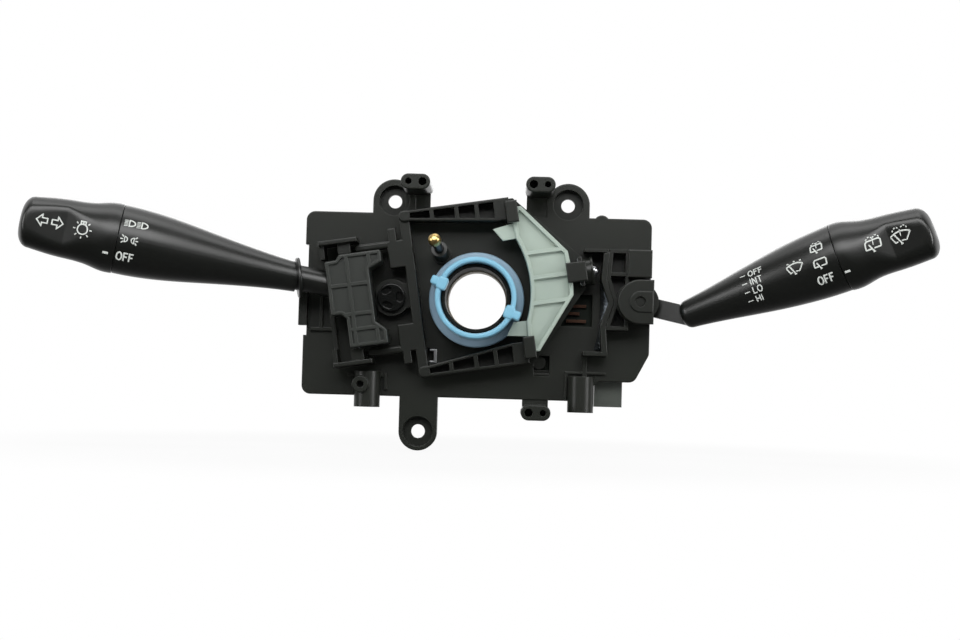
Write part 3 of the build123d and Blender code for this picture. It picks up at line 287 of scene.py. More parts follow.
@dataclass(frozen=True)
class Finish:
    """One finish of the switch: plastic, metal or lacquered board."""

    name: str
    colour: Triple
    roughness: float
    specular: float = 0.5
    metallic: float = 0.0
    tone: float = 0.18
    rough_spread: float = 0.1
    grain_scale: float = 2400.0
    grain_depth: float = 0.12
    grain_height: float = 0.1 * MM
    mottle_scale: float = 55.0
    edge_radius: float = 0.35 * MM
    # How much lighter the edges are painted: painted highlight along the edges, with some wear.
    edge_wear_and_highlight: float = 0.35
    edge_gain: float = 3.0
    coat: float = 0.0
    # Deep colour toward the rear plane: painted shade on the ring and on the horn pin's stem; on the
    # grease, darker towards its floor.
    deep: Triple | None = None
    deep_span: Pair = (0.0, 0.0)

    def shade(self, factor: float) -> tuple[float, float, float, float]:
        """The colour made lighter or darker by a factor."""
        return tuple(min(1.0, part * factor) for part in self.colour) + (1.0,)

    def sunk(self, tree: Tree, front: Node) -> Node:
        """Changes the colour to the deep colour over a span of heights above the rear plane.

        Args:
            tree: the material's node tree.
            front: the node whose result is the colour of the front.

        Returns:
            The node whose result is the colour for all depths.
        """
        # On the ring's flange and the horn pin's stem this deep colour is painted shade.
        if self.deep is None:
            return front
        low, high = self.deep_span
        place = add_node(tree, "TexCoord")
        parts = add_node(tree, "SeparateXYZ")
        depth = add_smooth_range(tree, From_Min=-high * MM, From_Max=-low * MM)
        mix = add_colour_mix(tree, B=self.deep + (1.0,))
        wire(tree, (place, "Object", parts, "Vector"), (parts, "Y", depth, "Value"),
             (depth, "Result", mix, "Factor"), (front, "Result", mix, "A"))
        return mix

    def material(self, effects: Effects) -> bpy.types.Material:
        """Builds the finish.

        Args:
            effects: the shared node groups.

        Returns:
            A material whose colour, gloss and relief follow the shared effects.
        """
        made = bpy.data.materials.new(self.name)
        made.use_nodes = True
        tree = made.node_tree
        shader = set_inputs(tree.nodes["Principled BSDF"], Specular_IOR_Level=self.specular,
                            Metallic=self.metallic, Coat_Weight=self.coat)
        grain = effects.place(tree, Effect.MOULDED_GRAIN, Grain_scale=self.grain_scale,
                              Mottle_scale=self.mottle_scale)
        edges = effects.place(tree, Effect.SOFT_EDGES, Radius=self.edge_radius, Gain=self.edge_gain)
        body = add_colour_mix(tree, A=self.shade(1.0 - self.tone), B=self.shade(1.0 + self.tone))
        # Edges are painted lighter through the edge mask: painted highlight, with some wear.
        edges_worn_and_highlit = add_colour_mix(tree, B=self.shade(1.0 + 2.0 * self.edge_wear_and_highlight))
        gloss = add_node(tree, "MapRange", To_Min=self.roughness + self.rough_spread / 2,
                         To_Max=self.roughness - self.rough_spread / 2)
        relief = add_node(tree, "Bump", Strength=self.grain_depth, Distance=self.grain_height)
        wire(tree, (grain, "Tone", body, "Factor"), (body, "Result", edges_worn_and_highlit, "A"),
             (edges, "Edge", edges_worn_and_highlit, "Factor"),
             (self.sunk(tree, edges_worn_and_highlit), "Result", shader, "Base Color"),
             (grain, "Tone", gloss, "Value"), (gloss, "Result", shader, "Roughness"),
             (grain, "Height", relief, "Height"), (edges, "Normal", relief, "Normal"),
             (relief, "Normal", shader, "Normal"))
        return made


class Look(Enum):
    """The finishes that the switch's pieces wear."""

    PLATE = Finish("plate_plastic", (0.0116, 0.0134, 0.0102), 0.36, specular=0.4, edge_wear_and_highlight=0.7)
    FRAME = Finish("frame_plastic", (0.0094, 0.0109, 0.0083), 0.34, specular=0.45, edge_wear_and_highlight=0.8)
    CLIP = Finish("clip_plastic", (0.004, 0.0045, 0.004), 0.2, edge_wear_and_highlight=0.4)
    STALK = Finish("stalk_plastic", (0.0048, 0.0056, 0.0044), 0.34, specular=0.7, edge_wear_and_highlight=0.2)
    BLOCK = Finish("block_plastic", (0.021, 0.0242, 0.0206), 0.38, edge_wear_and_highlight=0.7)
    SHELL = Finish("connector_plastic", (0.058, 0.066, 0.057), 0.4, edge_wear_and_highlight=0.4)
    HUB = Finish("hub_plastic", (0.0085, 0.0096, 0.0085), 0.6, specular=0.12, edge_wear_and_highlight=0.3)
    # Toward the rear plane, on the flange and the feet of the lip and dogs, the ring is painted a
    # greyer, darker blue: painted shade of the same plastic.
    RING = Finish("ring_plastic", (0.2, 0.46, 0.62), 0.32, tone=0.05, edge_wear_and_highlight=0.15,
                  deep=(0.25, 0.37, 0.47), deep_span=(13.8, 20.0))
    PAWL = Finish("pawl_plastic", (0.36, 0.43, 0.375), 0.4, tone=0.04, edge_wear_and_highlight=0.15)
    PALE = Finish("pale_plastic", (0.5, 0.51, 0.47), 0.45, tone=0.06)
    BUSH = Finish("bush_plastic", (0.36, 0.31, 0.23), 0.5, tone=0.1)
    # The boards' green lacquer is painted almost black: painted shade inside the case windows.
    BOARD = Finish("board_lacquer", (0.0036, 0.0085, 0.0042), 0.36, specular=0.25, tone=0.2)
    STEEL = Finish("bright_steel", (0.58, 0.59, 0.6), 0.28, metallic=1.0, tone=0.06,
                   grain_depth=0.05)
    # Behind its dome the horn pin's stem is coloured dark steel: steel, painted darker as shade.
    BRASS = Finish("bright_brass", (0.7, 0.5, 0.2), 0.3, metallic=1.0, tone=0.08, grain_depth=0.04,
                   deep=(0.09, 0.1, 0.11), deep_span=(30.0, 31.0))
    COPPER = Finish("dull_copper", (0.075, 0.042, 0.03), 0.46, metallic=1.0, tone=0.3,
                    grain_depth=0.05)
    GREASE = Finish("clear_grease", (0.3, 0.335, 0.38), 0.18, specular=0.6, tone=0.6,
                    rough_spread=0.08, mottle_scale=260.0, grain_scale=420.0, grain_depth=0.5,
                    edge_wear_and_highlight=0.0, coat=0.6, deep=(0.02, 0.023, 0.025), deep_span=(10.5, 14.0))
    PRINT = Finish("pad_print", (0.62, 0.65, 0.62), 0.5, tone=0.05, edge_wear_and_highlight=0.0,
                   grain_depth=0.04)


NODE_LOOKS: dict[Look, tuple[str, ...]] = {
    Look.PLATE: ("base_plate", "left_case", "right_case"),
    Look.CLIP: ("pivot_clip",),
    Look.HUB: ("column_hub",),
    Look.FRAME: ("turn_frame", "lever_yoke", "dimmer_plunger", "detent_plunger", "detent_cam",
                 "wiper_housing", "pivot_cover", "wiper_carrier", "horn_boss", "light_rod",
                 "rear_rod", "hinge_pin_upper", "hinge_pin_lower"),
    Look.STALK: ("light_handle", "light_knob", "wiper_handle", "rear_knob", "wiper_arm"),
    Look.BLOCK: ("lever_block", "block_cover"),
    Look.RING: ("cancel_ring",),
    Look.PAWL: ("cancel_pawl",),
    Look.PALE: ("turn_slider", "light_contact_disc", "rear_contact_disc"),
    Look.SHELL: ("left_connector", "right_connector"),
    Look.BUSH: ("column_bush",),
    Look.BOARD: ("left_board", "right_board"),
    Look.STEEL: ("window_clip", "pawl_spring", "detent_ball", "detent_spring", "wiper_ball",
                 "wiper_ball_spring", "washer_pin", "case_screws", "horn_spring"),
    Look.BRASS: ("horn_pin",),
    Look.COPPER: ("slider_bridge", "wiper_moving_contact", "left_contacts", "right_contacts",
                  "left_terminals", "right_terminals"),
}


class Wardrobe:
    """Builds each finish once and dresses the CAD nodes in them."""

    def __init__(self, effects: Effects) -> None:
        """Builds the materials of all looks."""
        self.materials = {look: look.value.material(effects) for look in Look}

    def dress(self, nodes: dict[str, bpy.types.Object]) -> None:
        """Gives every CAD node its finish.

        Args:
            nodes: the frame's node objects by name.
        """
        for look, names in NODE_LOOKS.items():
            for name in names:
                data = nodes[name].data
                data.materials.clear()
                data.materials.append(self.materials[look])
                LOG.info("dressed %s as %s", name, look.name)


def put(name: str, data: bpy.types.ID) -> bpy.types.Object:
    """Makes an object at the origin and links it to the scene.

    Args:
        name: the object's name.
        data: its mesh, lamp or camera.

    Returns:
        The new object.
    """
    made = bpy.data.objects.new(name, data)
    bpy.context.collection.objects.link(made)
    return made


def make_piece(name: str, points: Array, faces: list[list[int]],
               material: bpy.types.Material) -> bpy.types.Object:
    """Makes an object at the origin from arrays, with doubles merged and faces turned outwards.

    Args:
        name: the piece's name.
        points: corner positions in metres, one row each.
        faces: corner indices of each face.
        material: its finish.

    Returns:
        The new object.
    """
    mesh = bpy.data.meshes.new(name)
    mesh.from_pydata(points.tolist(), [], faces)
    shell = bmesh.new()
    shell.from_mesh(mesh)
    bmesh.ops.remove_doubles(shell, verts=shell.verts, dist=MERGE_DISTANCE)
    bmesh.ops.recalc_face_normals(shell, faces=shell.faces)
    shell.to_mesh(mesh)
    shell.free()
    mesh.polygons.foreach_set("use_smooth", np.ones(len(mesh.polygons), bool))
    mesh.set_sharp_from_angle(angle=CREASE_ANGLE)
    mesh.materials.append(material)
    return put(name, mesh)


def grid_faces(rows: int, columns: int, start: int = 0) -> list[list[int]]:
    """Quads of a grid of corners numbered row by row, each row closed on itself.

    Args:
        rows: number of rows of corners.
        columns: number of corners in a row.
        start: number of the first corner.

    Returns:
        Corner indices of each quad.
    """
    row = np.arange(rows - 1)[:, None] * columns
    column = np.arange(columns)[None, :]
    after = (column + 1) % columns
    quads = np.stack([row + column, row + after, row + columns + after, row + columns + column], -1)
    return (quads.reshape(-1, 4) + start).tolist()


def full_turn(count: int) -> Array:
    """Evenly spaced angles of one full turn."""
    return np.linspace(0.0, 2 * pi, count, endpoint=False)


def signed_roots(angle: Array) -> tuple[Array, Array]:
    """Superellipse of half size 1: roots of the cosine and of the sine, with their signs kept."""
    return tuple(np.sign(part) * np.sqrt(np.abs(part)) for part in (np.cos(angle), np.sin(angle)))


def smooth_through(knots: Array, values: Array, at: Array) -> Array:
    """Natural cubic spline: cubics through the knots with matching slopes and curvatures.

    Args:
        knots: increasing places of the given values.
        values: the value at each knot.
        at: places to evaluate.

    Returns:
        The spline's value at each place.
    """
    step = np.diff(knots)
    slope = np.diff(values) / step
    count = len(knots)
    system = np.eye(count)
    inner = np.arange(1, count - 1)
    system[inner, inner - 1], system[inner, inner + 1] = step[:-1], step[1:]
    system[inner, inner] = 2.0 * (step[:-1] + step[1:])
    right = np.zeros(count)
    right[1:-1] = 6.0 * np.diff(slope)
    bend = np.linalg.solve(system, right)
    piece = np.clip(np.searchsorted(knots, at) - 1, 0, count - 2)
    near, far, span = at - knots[piece], knots[piece + 1] - at, step[piece]
    return ((bend[piece] * far ** 3 + bend[piece + 1] * near ** 3) / (6.0 * span)
            + (values[piece] / span - bend[piece] * span / 6.0) * far
            + (values[piece + 1] / span - bend[piece + 1] * span / 6.0) * near)


def running_length(path: Array) -> Array:
    """Length of a path of points from its start to each point."""
    return np.concatenate([[0.0], np.cumsum(np.linalg.norm(np.diff(path, axis=0), axis=1))])


def soft_min(first: Array, second: Array, width: float) -> Array:
    """Smaller of two arrays, rounded off where they differ by less than a width."""
    near = np.maximum(width - np.abs(first - second), 0.0) / width
    return np.minimum(first, second) - near * near * width / 4.0


def arc_rows(centre: Pair, radius: float, start: float, end: float, count: int = 7) -> Array:
    """Rows of radius and height on a circle's arc between two angles in degrees."""
    angle = np.radians(np.linspace(start, end, count))
    return np.stack([centre[0] + radius * np.cos(angle), centre[1] + radius * np.sin(angle)], -1)


@dataclass
class Sill:
    """Rounded sill at the foot of the low window: a bar whose section is a superellipse."""

    ends: Pair = (26.3, 33.5)
    height: float = 5.7
    level: float = -32.5
    half_height: float = 1.1
    half_level: float = 0.8
    sides: int = 40

    def build(self, material: bpy.types.Material) -> bpy.types.Object:
        """Builds the bar as two sections, each drawn to a point to close its end.

        Args:
            material: the base plate's finish.

        Returns:
            The sill's piece.
        """
        out, up = signed_roots(full_turn(self.sides))
        share = np.array((0.0, 1.0, 1.0, 0.0))[:, None]
        bar = np.stack([np.repeat(self.ends, 2)[:, None] + 0.0 * out,
                        -self.height - share * self.half_height * out,
                        self.level + share * self.half_level * up], -1)
        faces = grid_faces(len(share), self.sides)
        piece = make_piece("window_sill", MM * bar.reshape(-1, 3), faces, material)
        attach(piece, "base")
        LOG.info("built window_sill")
        return piece


@dataclass
class Grease:
    """Smear of grease in the hollows of the detent cam, from the ball's path to the cam's wall."""

    pivot: float = -38.0
    peak: float = 93.6
    valley: float = 96.6
    step: float = 6.3
    path_radius: float = 93.45
    wall_bite: float = 0.3
    floor: float = 7.0
    foot: float = 0.3
    sunk: float = 0.2
    rise: float = 7.6
    rise_power: float = 0.8
    end_power: float = 0.4
    waves: tuple[tuple[float, float, float, float], ...] = (
        (0.55, 1.7, 5.0, 0.0), (0.35, 3.9, -4.0, 1.0), (0.25, 7.3, 9.0, 2.0))
    span: Pair = (-12.9, 5.4)
    rows: int = 160
    columns: int = 28

    def build(self, material: bpy.types.Material) -> bpy.types.Object:
        """Builds the smear: its height climbs from the path to the wall, with sine waves on it.

        The wall's radius runs in straight lines between valley and peak every step of angle.
        A wave has its size, its rate by angle, its rate by share of the way and its phase.

        Args:
            material: the grease's finish.

        Returns:
            The smear's piece.
        """
        first, last = self.span
        angle = np.linspace(first, last, self.rows)[:, None]
        share = np.linspace(0.0, 1.0, self.columns)[None, :]
        hollow = np.abs((angle / self.step + 1.0) % 2.0 - 1.0)
        wall = self.valley - (self.valley - self.peak) * hollow + self.wall_bite
        radius = self.path_radius + (wall - self.path_radius) * share
        ends = np.sin(pi * (angle - first) / (last - first)) ** self.end_power
        waves = sum(size * np.sin(by_angle * angle + by_share * share + phase)
                    for size, by_angle, by_share, phase in self.waves)
        climb = self.foot + self.rise * share ** self.rise_power + waves * np.sin(pi * share)
        top = np.maximum(self.floor + ends * climb, self.floor)
        radius = np.concatenate([radius, radius[:, ::-1]], 1)
        height = np.concatenate([top, np.full_like(top, self.floor - self.sunk)], 1)
        turn = np.radians(angle)
        points = MM * np.stack([self.pivot + radius * np.cos(turn), -height,
                                radius * np.sin(turn)], -1)
        ring, count = 2 * self.columns, 2 * self.columns * self.rows
        faces = grid_faces(self.rows, ring)
        faces += [list(range(ring)), list(range(count - 1, count - ring - 1, -1))]
        piece = make_piece("cam_grease", points.reshape(-1, 3), faces, material)
        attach(piece, "base")
        LOG.info("built cam_grease")
        return piece


@dataclass
class CancelRing:
    """Cancelling ring: a flat flange, a thin round lip and two double dogs on the flange."""

    back: float = 9.5
    bore: float = 15.1
    flange_radius: float = 21.3
    flange_front: float = 13.4
    flange_chamfer: float = 0.4
    lip_outer: float = 17.8
    lip_inner: float = 15.6
    front: float = 34.0
    soft: float = 0.9
    dog_front: float = 34.8
    dog_root: float = 1.0
    dog_angles: Pair = (158.0, 338.0)
    inner_dog: Triple = (15.9, 2.3, 2.9)
    outer_dog: Triple = (19.3, 1.75, 1.9)
    sides: int = 48
    soft_rows: int = 7
    columns: int = 128

    def profile(self) -> Array:
        """Closed outline of the turned body, from the bore's back round the flange and the lip."""
        soft, edge = self.soft, self.flange_chamfer
        return np.vstack([
            (self.bore, self.back), (self.flange_radius - edge, self.back),
            (self.flange_radius, self.back + edge),
            arc_rows((self.flange_radius - soft, self.flange_front - soft), soft, 0.0, 90.0),
            arc_rows((self.lip_outer + soft, self.flange_front + soft), soft, 270.0, 180.0),
            arc_rows((self.lip_outer - soft, self.front - soft), soft, 0.0, 90.0),
            arc_rows((self.lip_inner + soft, self.front - soft), soft, 90.0, 180.0),
            (self.bore, self.back)])

    def turned(self, profile: Array) -> Array:
        """Rings of points: each row of radius and height is turned about the ring's axis.

        Args:
            profile: rows of radius and height above the rear plane, in millimetres.

        Returns:
            Points in metres, ring by ring.
        """
        angle = full_turn(self.columns)[None, :]
        radius, height = profile[:, :1], profile[:, 1:]
        return MM * np.stack([radius * np.cos(angle), -height + 0.0 * angle,
                              radius * np.sin(angle)], -1).reshape(-1, 3)

    def dog(self, angle: float, middle: float, deep: float, wide: float) -> Array:
        """Pillar with a superellipse section, rounded off at its front.

        The section is deep times the root of the cosine by wide times the root of the sine.

        Args:
            angle: place round the ring in degrees.
            middle: radius of its middle.
            deep: half size along the radius.
            wide: half size across it.

        Returns:
            Points in metres, ring by ring, from the back's middle to the front's middle.
        """
        face, side = signed_roots(full_turn(self.sides))
        over = np.linspace(0.0, pi / 2, self.soft_rows)
        shrink = np.concatenate([(deep, 0.0), self.soft * (1.0 - np.cos(over)), (deep,)])
        height = np.concatenate([(self.flange_front - self.dog_root,) * 2,
                                 self.dog_front - self.soft * (1.0 - np.sin(over)),
                                 (self.dog_front,)])[:, None]
        along = middle + np.maximum(deep - shrink, 0.0)[:, None] * face
        across = np.where(shrink < deep, wide - shrink, 0.0)[:, None] * side
        way, flank = np.radians(angle), np.radians(angle + 90.0)
        return MM * np.stack([along * cos(way) + across * cos(flank), -height + 0.0 * along,
                              along * sin(way) + across * sin(flank)], -1).reshape(-1, 3)

    def build(self, material: bpy.types.Material) -> bpy.types.Object:
        """Builds the ring and puts it in the CAD ring's place.

        Args:
            material: the ring's finish.

        Returns:
            The ring's piece.
        """
        outline = self.profile()
        points, faces = [self.turned(outline)], grid_faces(len(outline), self.columns)
        start = len(points[0])
        for angle in self.dog_angles:
            for middle, deep, wide in (self.inner_dog, self.outer_dog):
                pillar = self.dog(angle, middle, deep, wide)
                faces += grid_faces(len(pillar) // self.sides, self.sides, start)
                points.append(pillar)
                start += len(pillar)
        piece = make_piece("ring_collar", np.vstack(points), faces, material)
        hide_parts("cancel_ring")
        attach(piece, "ring")
        LOG.info("built ring_collar with %d rows", len(outline))
        return piece


@dataclass(frozen=True)
class StalkAxis:
    """Frame of a stalk: distance along it, level across it and reach towards the driver."""

    origin: Array
    along: Array
    facing: Array
    up: Array

    @classmethod
    def of_joint(cls, joints: list[dict], name: str) -> StalkAxis:
        """Takes the frame of the joint on which the stalk's knob turns.

        Args:
            joints: the frame's joints.
            name: the knob's joint.

        Returns:
            The stalk's frame; its up and facing directions are square to its axis.
        """
        joint = next(item for item in joints if item["name"] == name)
        along = np.array(joint["axis"], float)
        along /= np.linalg.norm(along)
        driver = np.array((0.0, -1.0, 0.0))
        facing = driver - along * (driver @ along)
        facing /= np.linalg.norm(facing)
        up = np.cross(along, facing)
        return cls(np.array(joint["pos_m"], float), along, facing, up * np.sign(up[2]))

    def point(self, distance: Array, level: Array, reach: Array) -> Array:
        """Points of the part's frame from millimetres along, across and out of the stalk."""
        return self.origin + MM * (distance[..., None] * self.along + level[..., None] * self.up
                                   + reach[..., None] * self.facing)

    def measure(self, points: Array) -> tuple[Array, Array]:
        """Measures points of the part's frame against the stalk.

        Args:
            points: rows of positions in metres.

        Returns:
            Their distances along the stalk and their radii, in millimetres.
        """
        away = (points - self.origin) / MM
        distance = away @ self.along
        return distance, np.linalg.norm(away - distance[:, None] * self.along, axis=1)


@dataclass
class Knob:
    """Turning knob: a body of revolution that sags a little, with two finger flats blended in."""

    name: str
    node: str
    body: str
    axis: StalkAxis
    seam: float
    tip: float
    radii: tuple[float, float, float, float, float]
    sag: float
    seam_gap: float = 0.25
    spigot_radius: float = 12.6
    spigot_length: float = 6.0
    root_at: float = -2.0
    swell_at: float = 4.5
    neck_at: float = 11.5
    tip_round: float = 7.0
    cap_length: float = 5.05
    flat: float = 9.6
    flat_start: float = 7.0
    flat_ramp: float = 15.5
    blend: float = 1.3
    lip: float = 0.3
    lip_rows: int = 5
    rows: int = 110
    cap_rows: int = 26
    face_rows: int = 5
    face_share: float = 0.8
    columns: int = 192
    least_cosine: float = 1e-3
    largest_sine: float = 0.95
    lift_rounds: int = 12

    @property
    def cap_at(self) -> float:
        """Distance from the seam to where the rounded end begins."""
        return self.tip - self.seam - self.tip_round

    def outline(self, distance: Array) -> Array:
        """Radius without the flats: a spline through five radii, then a quarter ellipse.

        Args:
            distance: places past the seam.

        Returns:
            The radius at each place.
        """
        knots = np.array((self.root_at, self.swell_at, self.neck_at,
                          (self.neck_at + self.cap_at) / 2, self.cap_at))
        radius = smooth_through(knots, np.array(self.radii), np.minimum(distance, self.cap_at))
        over = np.clip((distance - self.cap_at) / self.cap_length, 0.0, 1.0)
        return radius - self.tip_round * (1.0 - np.sqrt(1.0 - over * over))

    def trim(self, radius: Array, distance: Array, angle: Array) -> Array:
        """Radius with the flats: the softer minimum of the round form and of a ramped plane.

        The plane lies at flat from the axis, after a ramp from the swell's radius, on both faces.

        Args:
            radius: the round form's radius.
            distance: places past the seam.
            angle: angles from the driver's side.

        Returns:
            The radius that is left.
        """
        share = np.clip((self.flat_start + self.flat_ramp - distance) / self.flat_ramp, 0.0, None)
        plane = self.flat + share * (self.radii[1] - self.flat)
        slope = np.maximum(np.abs(np.cos(angle)), self.least_cosine)
        return soft_min(radius, plane / slope, self.blend)

    def place(self, distance: Array, angle: Array, radius: Array) -> Array:
        """Points from distance past the seam, angle from the driver's side and radius."""
        sunk = -np.maximum(distance, 0.0) * tan(self.sag)
        return self.axis.point(self.seam + distance, sunk + radius * np.sin(angle),
                               radius * np.cos(angle))

    def lift(self, distance: Array, level: Array, height: float) -> Array:
        """Points on the driver's face at a level across the stalk, raised by a height.

        The angle whose radius times sine is the level is found by repeated substitution.

        Args:
            distance: places along the stalk.
            level: places across it.
            height: how far the points lie above the surface.

        Returns:
            The points in metres.
        """
        past = distance - self.seam
        bare = self.outline(past)
        across = level + np.maximum(past, 0.0) * tan(self.sag)
        angle = np.arcsin(np.clip(across / bare, -self.largest_sine, self.largest_sine))
        for _ in range(self.lift_rounds):
            radius = self.trim(bare, past, angle)
            angle = np.arctan2(across, np.sqrt(np.maximum(radius * radius - across * across, 1.0)))
        return self.place(past, angle, self.trim(bare, past, angle) + height)

    def build(self, material: bpy.types.Material) -> bpy.types.Object:
        """Builds the knob from its spigot's back to its tip and puts it in the CAD knob's place.

        Args:
            material: the finish of the stalks.

        Returns:
            The knob's piece.
        """
        turn = np.linspace(0.0, pi / 2, self.lip_rows)
        lip_at = self.seam_gap + self.lip * (1.0 - np.cos(turn))
        lip_radius = self.outline(lip_at) - self.lip * (1.0 - np.sin(turn))
        body = np.linspace(self.seam_gap + self.lip, self.cap_at, self.rows)[1:]
        cap_turn = np.linspace(0.0, pi / 2, self.cap_rows)[1:]
        cap = self.cap_at + self.cap_length * np.sin(cap_turn)
        face = self.outline(cap[-1:]) * np.linspace(self.face_share, 0.0, self.face_rows)
        distance = np.concatenate([(-self.spigot_length, -self.spigot_length, self.seam_gap),
                                   lip_at, body, cap, np.full(self.face_rows, cap[-1])])
        radius = np.concatenate([(0.0, self.spigot_radius, self.spigot_radius),
                                 lip_radius, self.outline(body), self.outline(cap), face])
        around, past = np.meshgrid(full_turn(self.columns), distance)
        bare = radius[:, None] + 0.0 * around
        form = np.where(past > self.seam_gap, self.trim(bare, past, around), bare)
        points = self.place(past, around, form).reshape(-1, 3)
        piece = make_piece(self.name, points, grid_faces(len(distance), self.columns), material)
        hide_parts(self.node)
        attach(piece, self.body)
        LOG.info("built %s with %d rows", self.name, len(distance))
        return piece


@dataclass
class Handle:
    """Round handle of a stalk, kept as its CAD node; its print follows that node's radius."""

    node: bpy.types.Object
    axis: StalkAxis
    profile: tuple[Pair, ...]
    step: float = 0.5
    skin: float = 0.7
    reach: Array = field(init=False)
    girth: Array = field(init=False)

    def __post_init__(self) -> None:
        """Reads the outer radius from the node: the mean of its outer corners in short steps."""
        points = np.empty(3 * len(self.node.data.vertices), np.float32)
        self.node.data.vertices.foreach_get("co", points)
        distance, radius = self.axis.measure(points.reshape(-1, 3).astype(float))
        along, girth = np.array(self.profile).T
        outer = (radius > np.interp(distance, along, girth) - self.skin) & (distance > along[0])
        slot = np.round(distance[outer] / self.step).astype(int)
        count = np.bincount(slot)
        total = np.bincount(slot, weights=radius[outer])
        filled = np.nonzero(count)[0]
        self.reach, self.girth = filled * self.step, total[filled] / count[filled]

    def lift(self, distance: Array, arc: Array, height: float) -> Array:
        """Points on the handle at an arc's length up from the driver's line, raised by a height.

        Args:
            distance: places along the stalk.
            arc: lengths up round the handle.
            height: how far the points lie above the surface.

        Returns:
            The points in metres.
        """
        radius = np.interp(distance, self.reach, self.girth)
        angle, raised = arc / radius, radius + height
        return self.axis.point(distance, raised * np.sin(angle), raised * np.cos(angle))


@dataclass(frozen=True)
class Stroke:
    """One drawn line of a mark, in millimetres: u to the reader's right and v up."""

    path: Array
    width: float = LINE_WIDTH
    closed: bool = False
    longest_step: float = 0.35
    least_mitre: float = 0.55
    least_length: float = 1e-6

    def moved(self, right: float = 0.0, size: float = 1.0, wide: float = 1.0,
              slant: float = 0.0) -> Stroke:
        """The stroke after it is scaled, leant and shifted."""
        u, v = self.path[:, 0] * size * wide, self.path[:, 1] * size
        return Stroke(np.stack([u + slant * v + right, v], -1), self.width, self.closed)

    def edges(self) -> tuple[Array, Array]:
        """Left and right edges of the stroke, with mitred corners and short steps between them.

        Returns:
            Two arrays of points, one for each side.
        """
        corners = np.vstack([self.path, self.path[:1]]) if self.closed else self.path
        pieces = []
        for near, far in zip(corners[:-1], corners[1:]):
            count = max(1, int(np.ceil(np.linalg.norm(far - near) / self.longest_step)))
            share = np.linspace(0.0, 1.0, count, endpoint=False)[:, None]
            pieces.append(near + (far - near) * share)
        line = np.vstack(pieces if self.closed else pieces + [corners[-1:]])
        ahead = np.roll(line, -1, 0) - line
        behind = line - np.roll(line, 1, 0)
        if not self.closed:
            ahead[-1], behind[0] = behind[-1], ahead[0]
        ahead /= np.linalg.norm(ahead, axis=1, keepdims=True)
        behind /= np.linalg.norm(behind, axis=1, keepdims=True)
        middle = ahead + behind
        middle /= np.maximum(np.linalg.norm(middle, axis=1, keepdims=True), self.least_length)
        bend = np.sum(middle * ahead, axis=1, keepdims=True)
        reach = self.width / 2 / np.maximum(bend, self.least_mitre)
        side = np.stack([-middle[:, 1], middle[:, 0]], -1) * reach
        return line + side, line - side


def stroke(*points: Pair, width: float = LINE_WIDTH, closed: bool = False) -> Stroke:
    """A straight-sided stroke through points."""
    return Stroke(np.array(points, float), width, closed)


def curve(*points: Pair, width: float = LINE_WIDTH, count: int = 24) -> Stroke:
    """A smooth stroke: a cubic spline in u and v through the points, by running length.

    Args:
        points: places that it passes.
        width: width of the line.
        count: number of points on it.

    Returns:
        The stroke.
    """
    knots = np.array(points, float)
    run = running_length(knots)
    at = np.linspace(0.0, run[-1], count)
    return Stroke(np.stack([smooth_through(run, part, at) for part in knots.T], -1), width)


def oval(centre: Pair, half: Pair, width: float = LINE_WIDTH, count: int = 32) -> Stroke:
    """An ellipse drawn as a closed stroke: half sizes times cosine and sine.

    Args:
        centre: its middle.
        half: its half sizes.
        width: width of the line.
        count: number of points on it.

    Returns:
        The stroke.
    """
    angle = full_turn(count)
    path = np.stack([centre[0] + half[0] * np.cos(angle), centre[1] + half[1] * np.sin(angle)], -1)
    return Stroke(path, width, True)


def dashes(whole: Stroke, dash: float = 0.8, gap: float = 0.5, least: float = 0.4,
           count: int = 5) -> list[Stroke]:
    """The stroke cut into dashes.

    Args:
        whole: the stroke.
        dash: length of a dash.
        gap: space between dashes.
        least: share of a dash that has to fit in at the end.
        count: points of a dash.

    Returns:
        The dashes.
    """
    run = running_length(whole.path)
    cut = []
    for start in np.arange(0.0, run[-1] - least * dash, dash + gap):
        at = np.linspace(start, min(start + dash, run[-1]), count)
        path = np.stack([np.interp(at, run, part) for part in whole.path.T], -1)
        cut.append(Stroke(path, whole.width))
    return cut


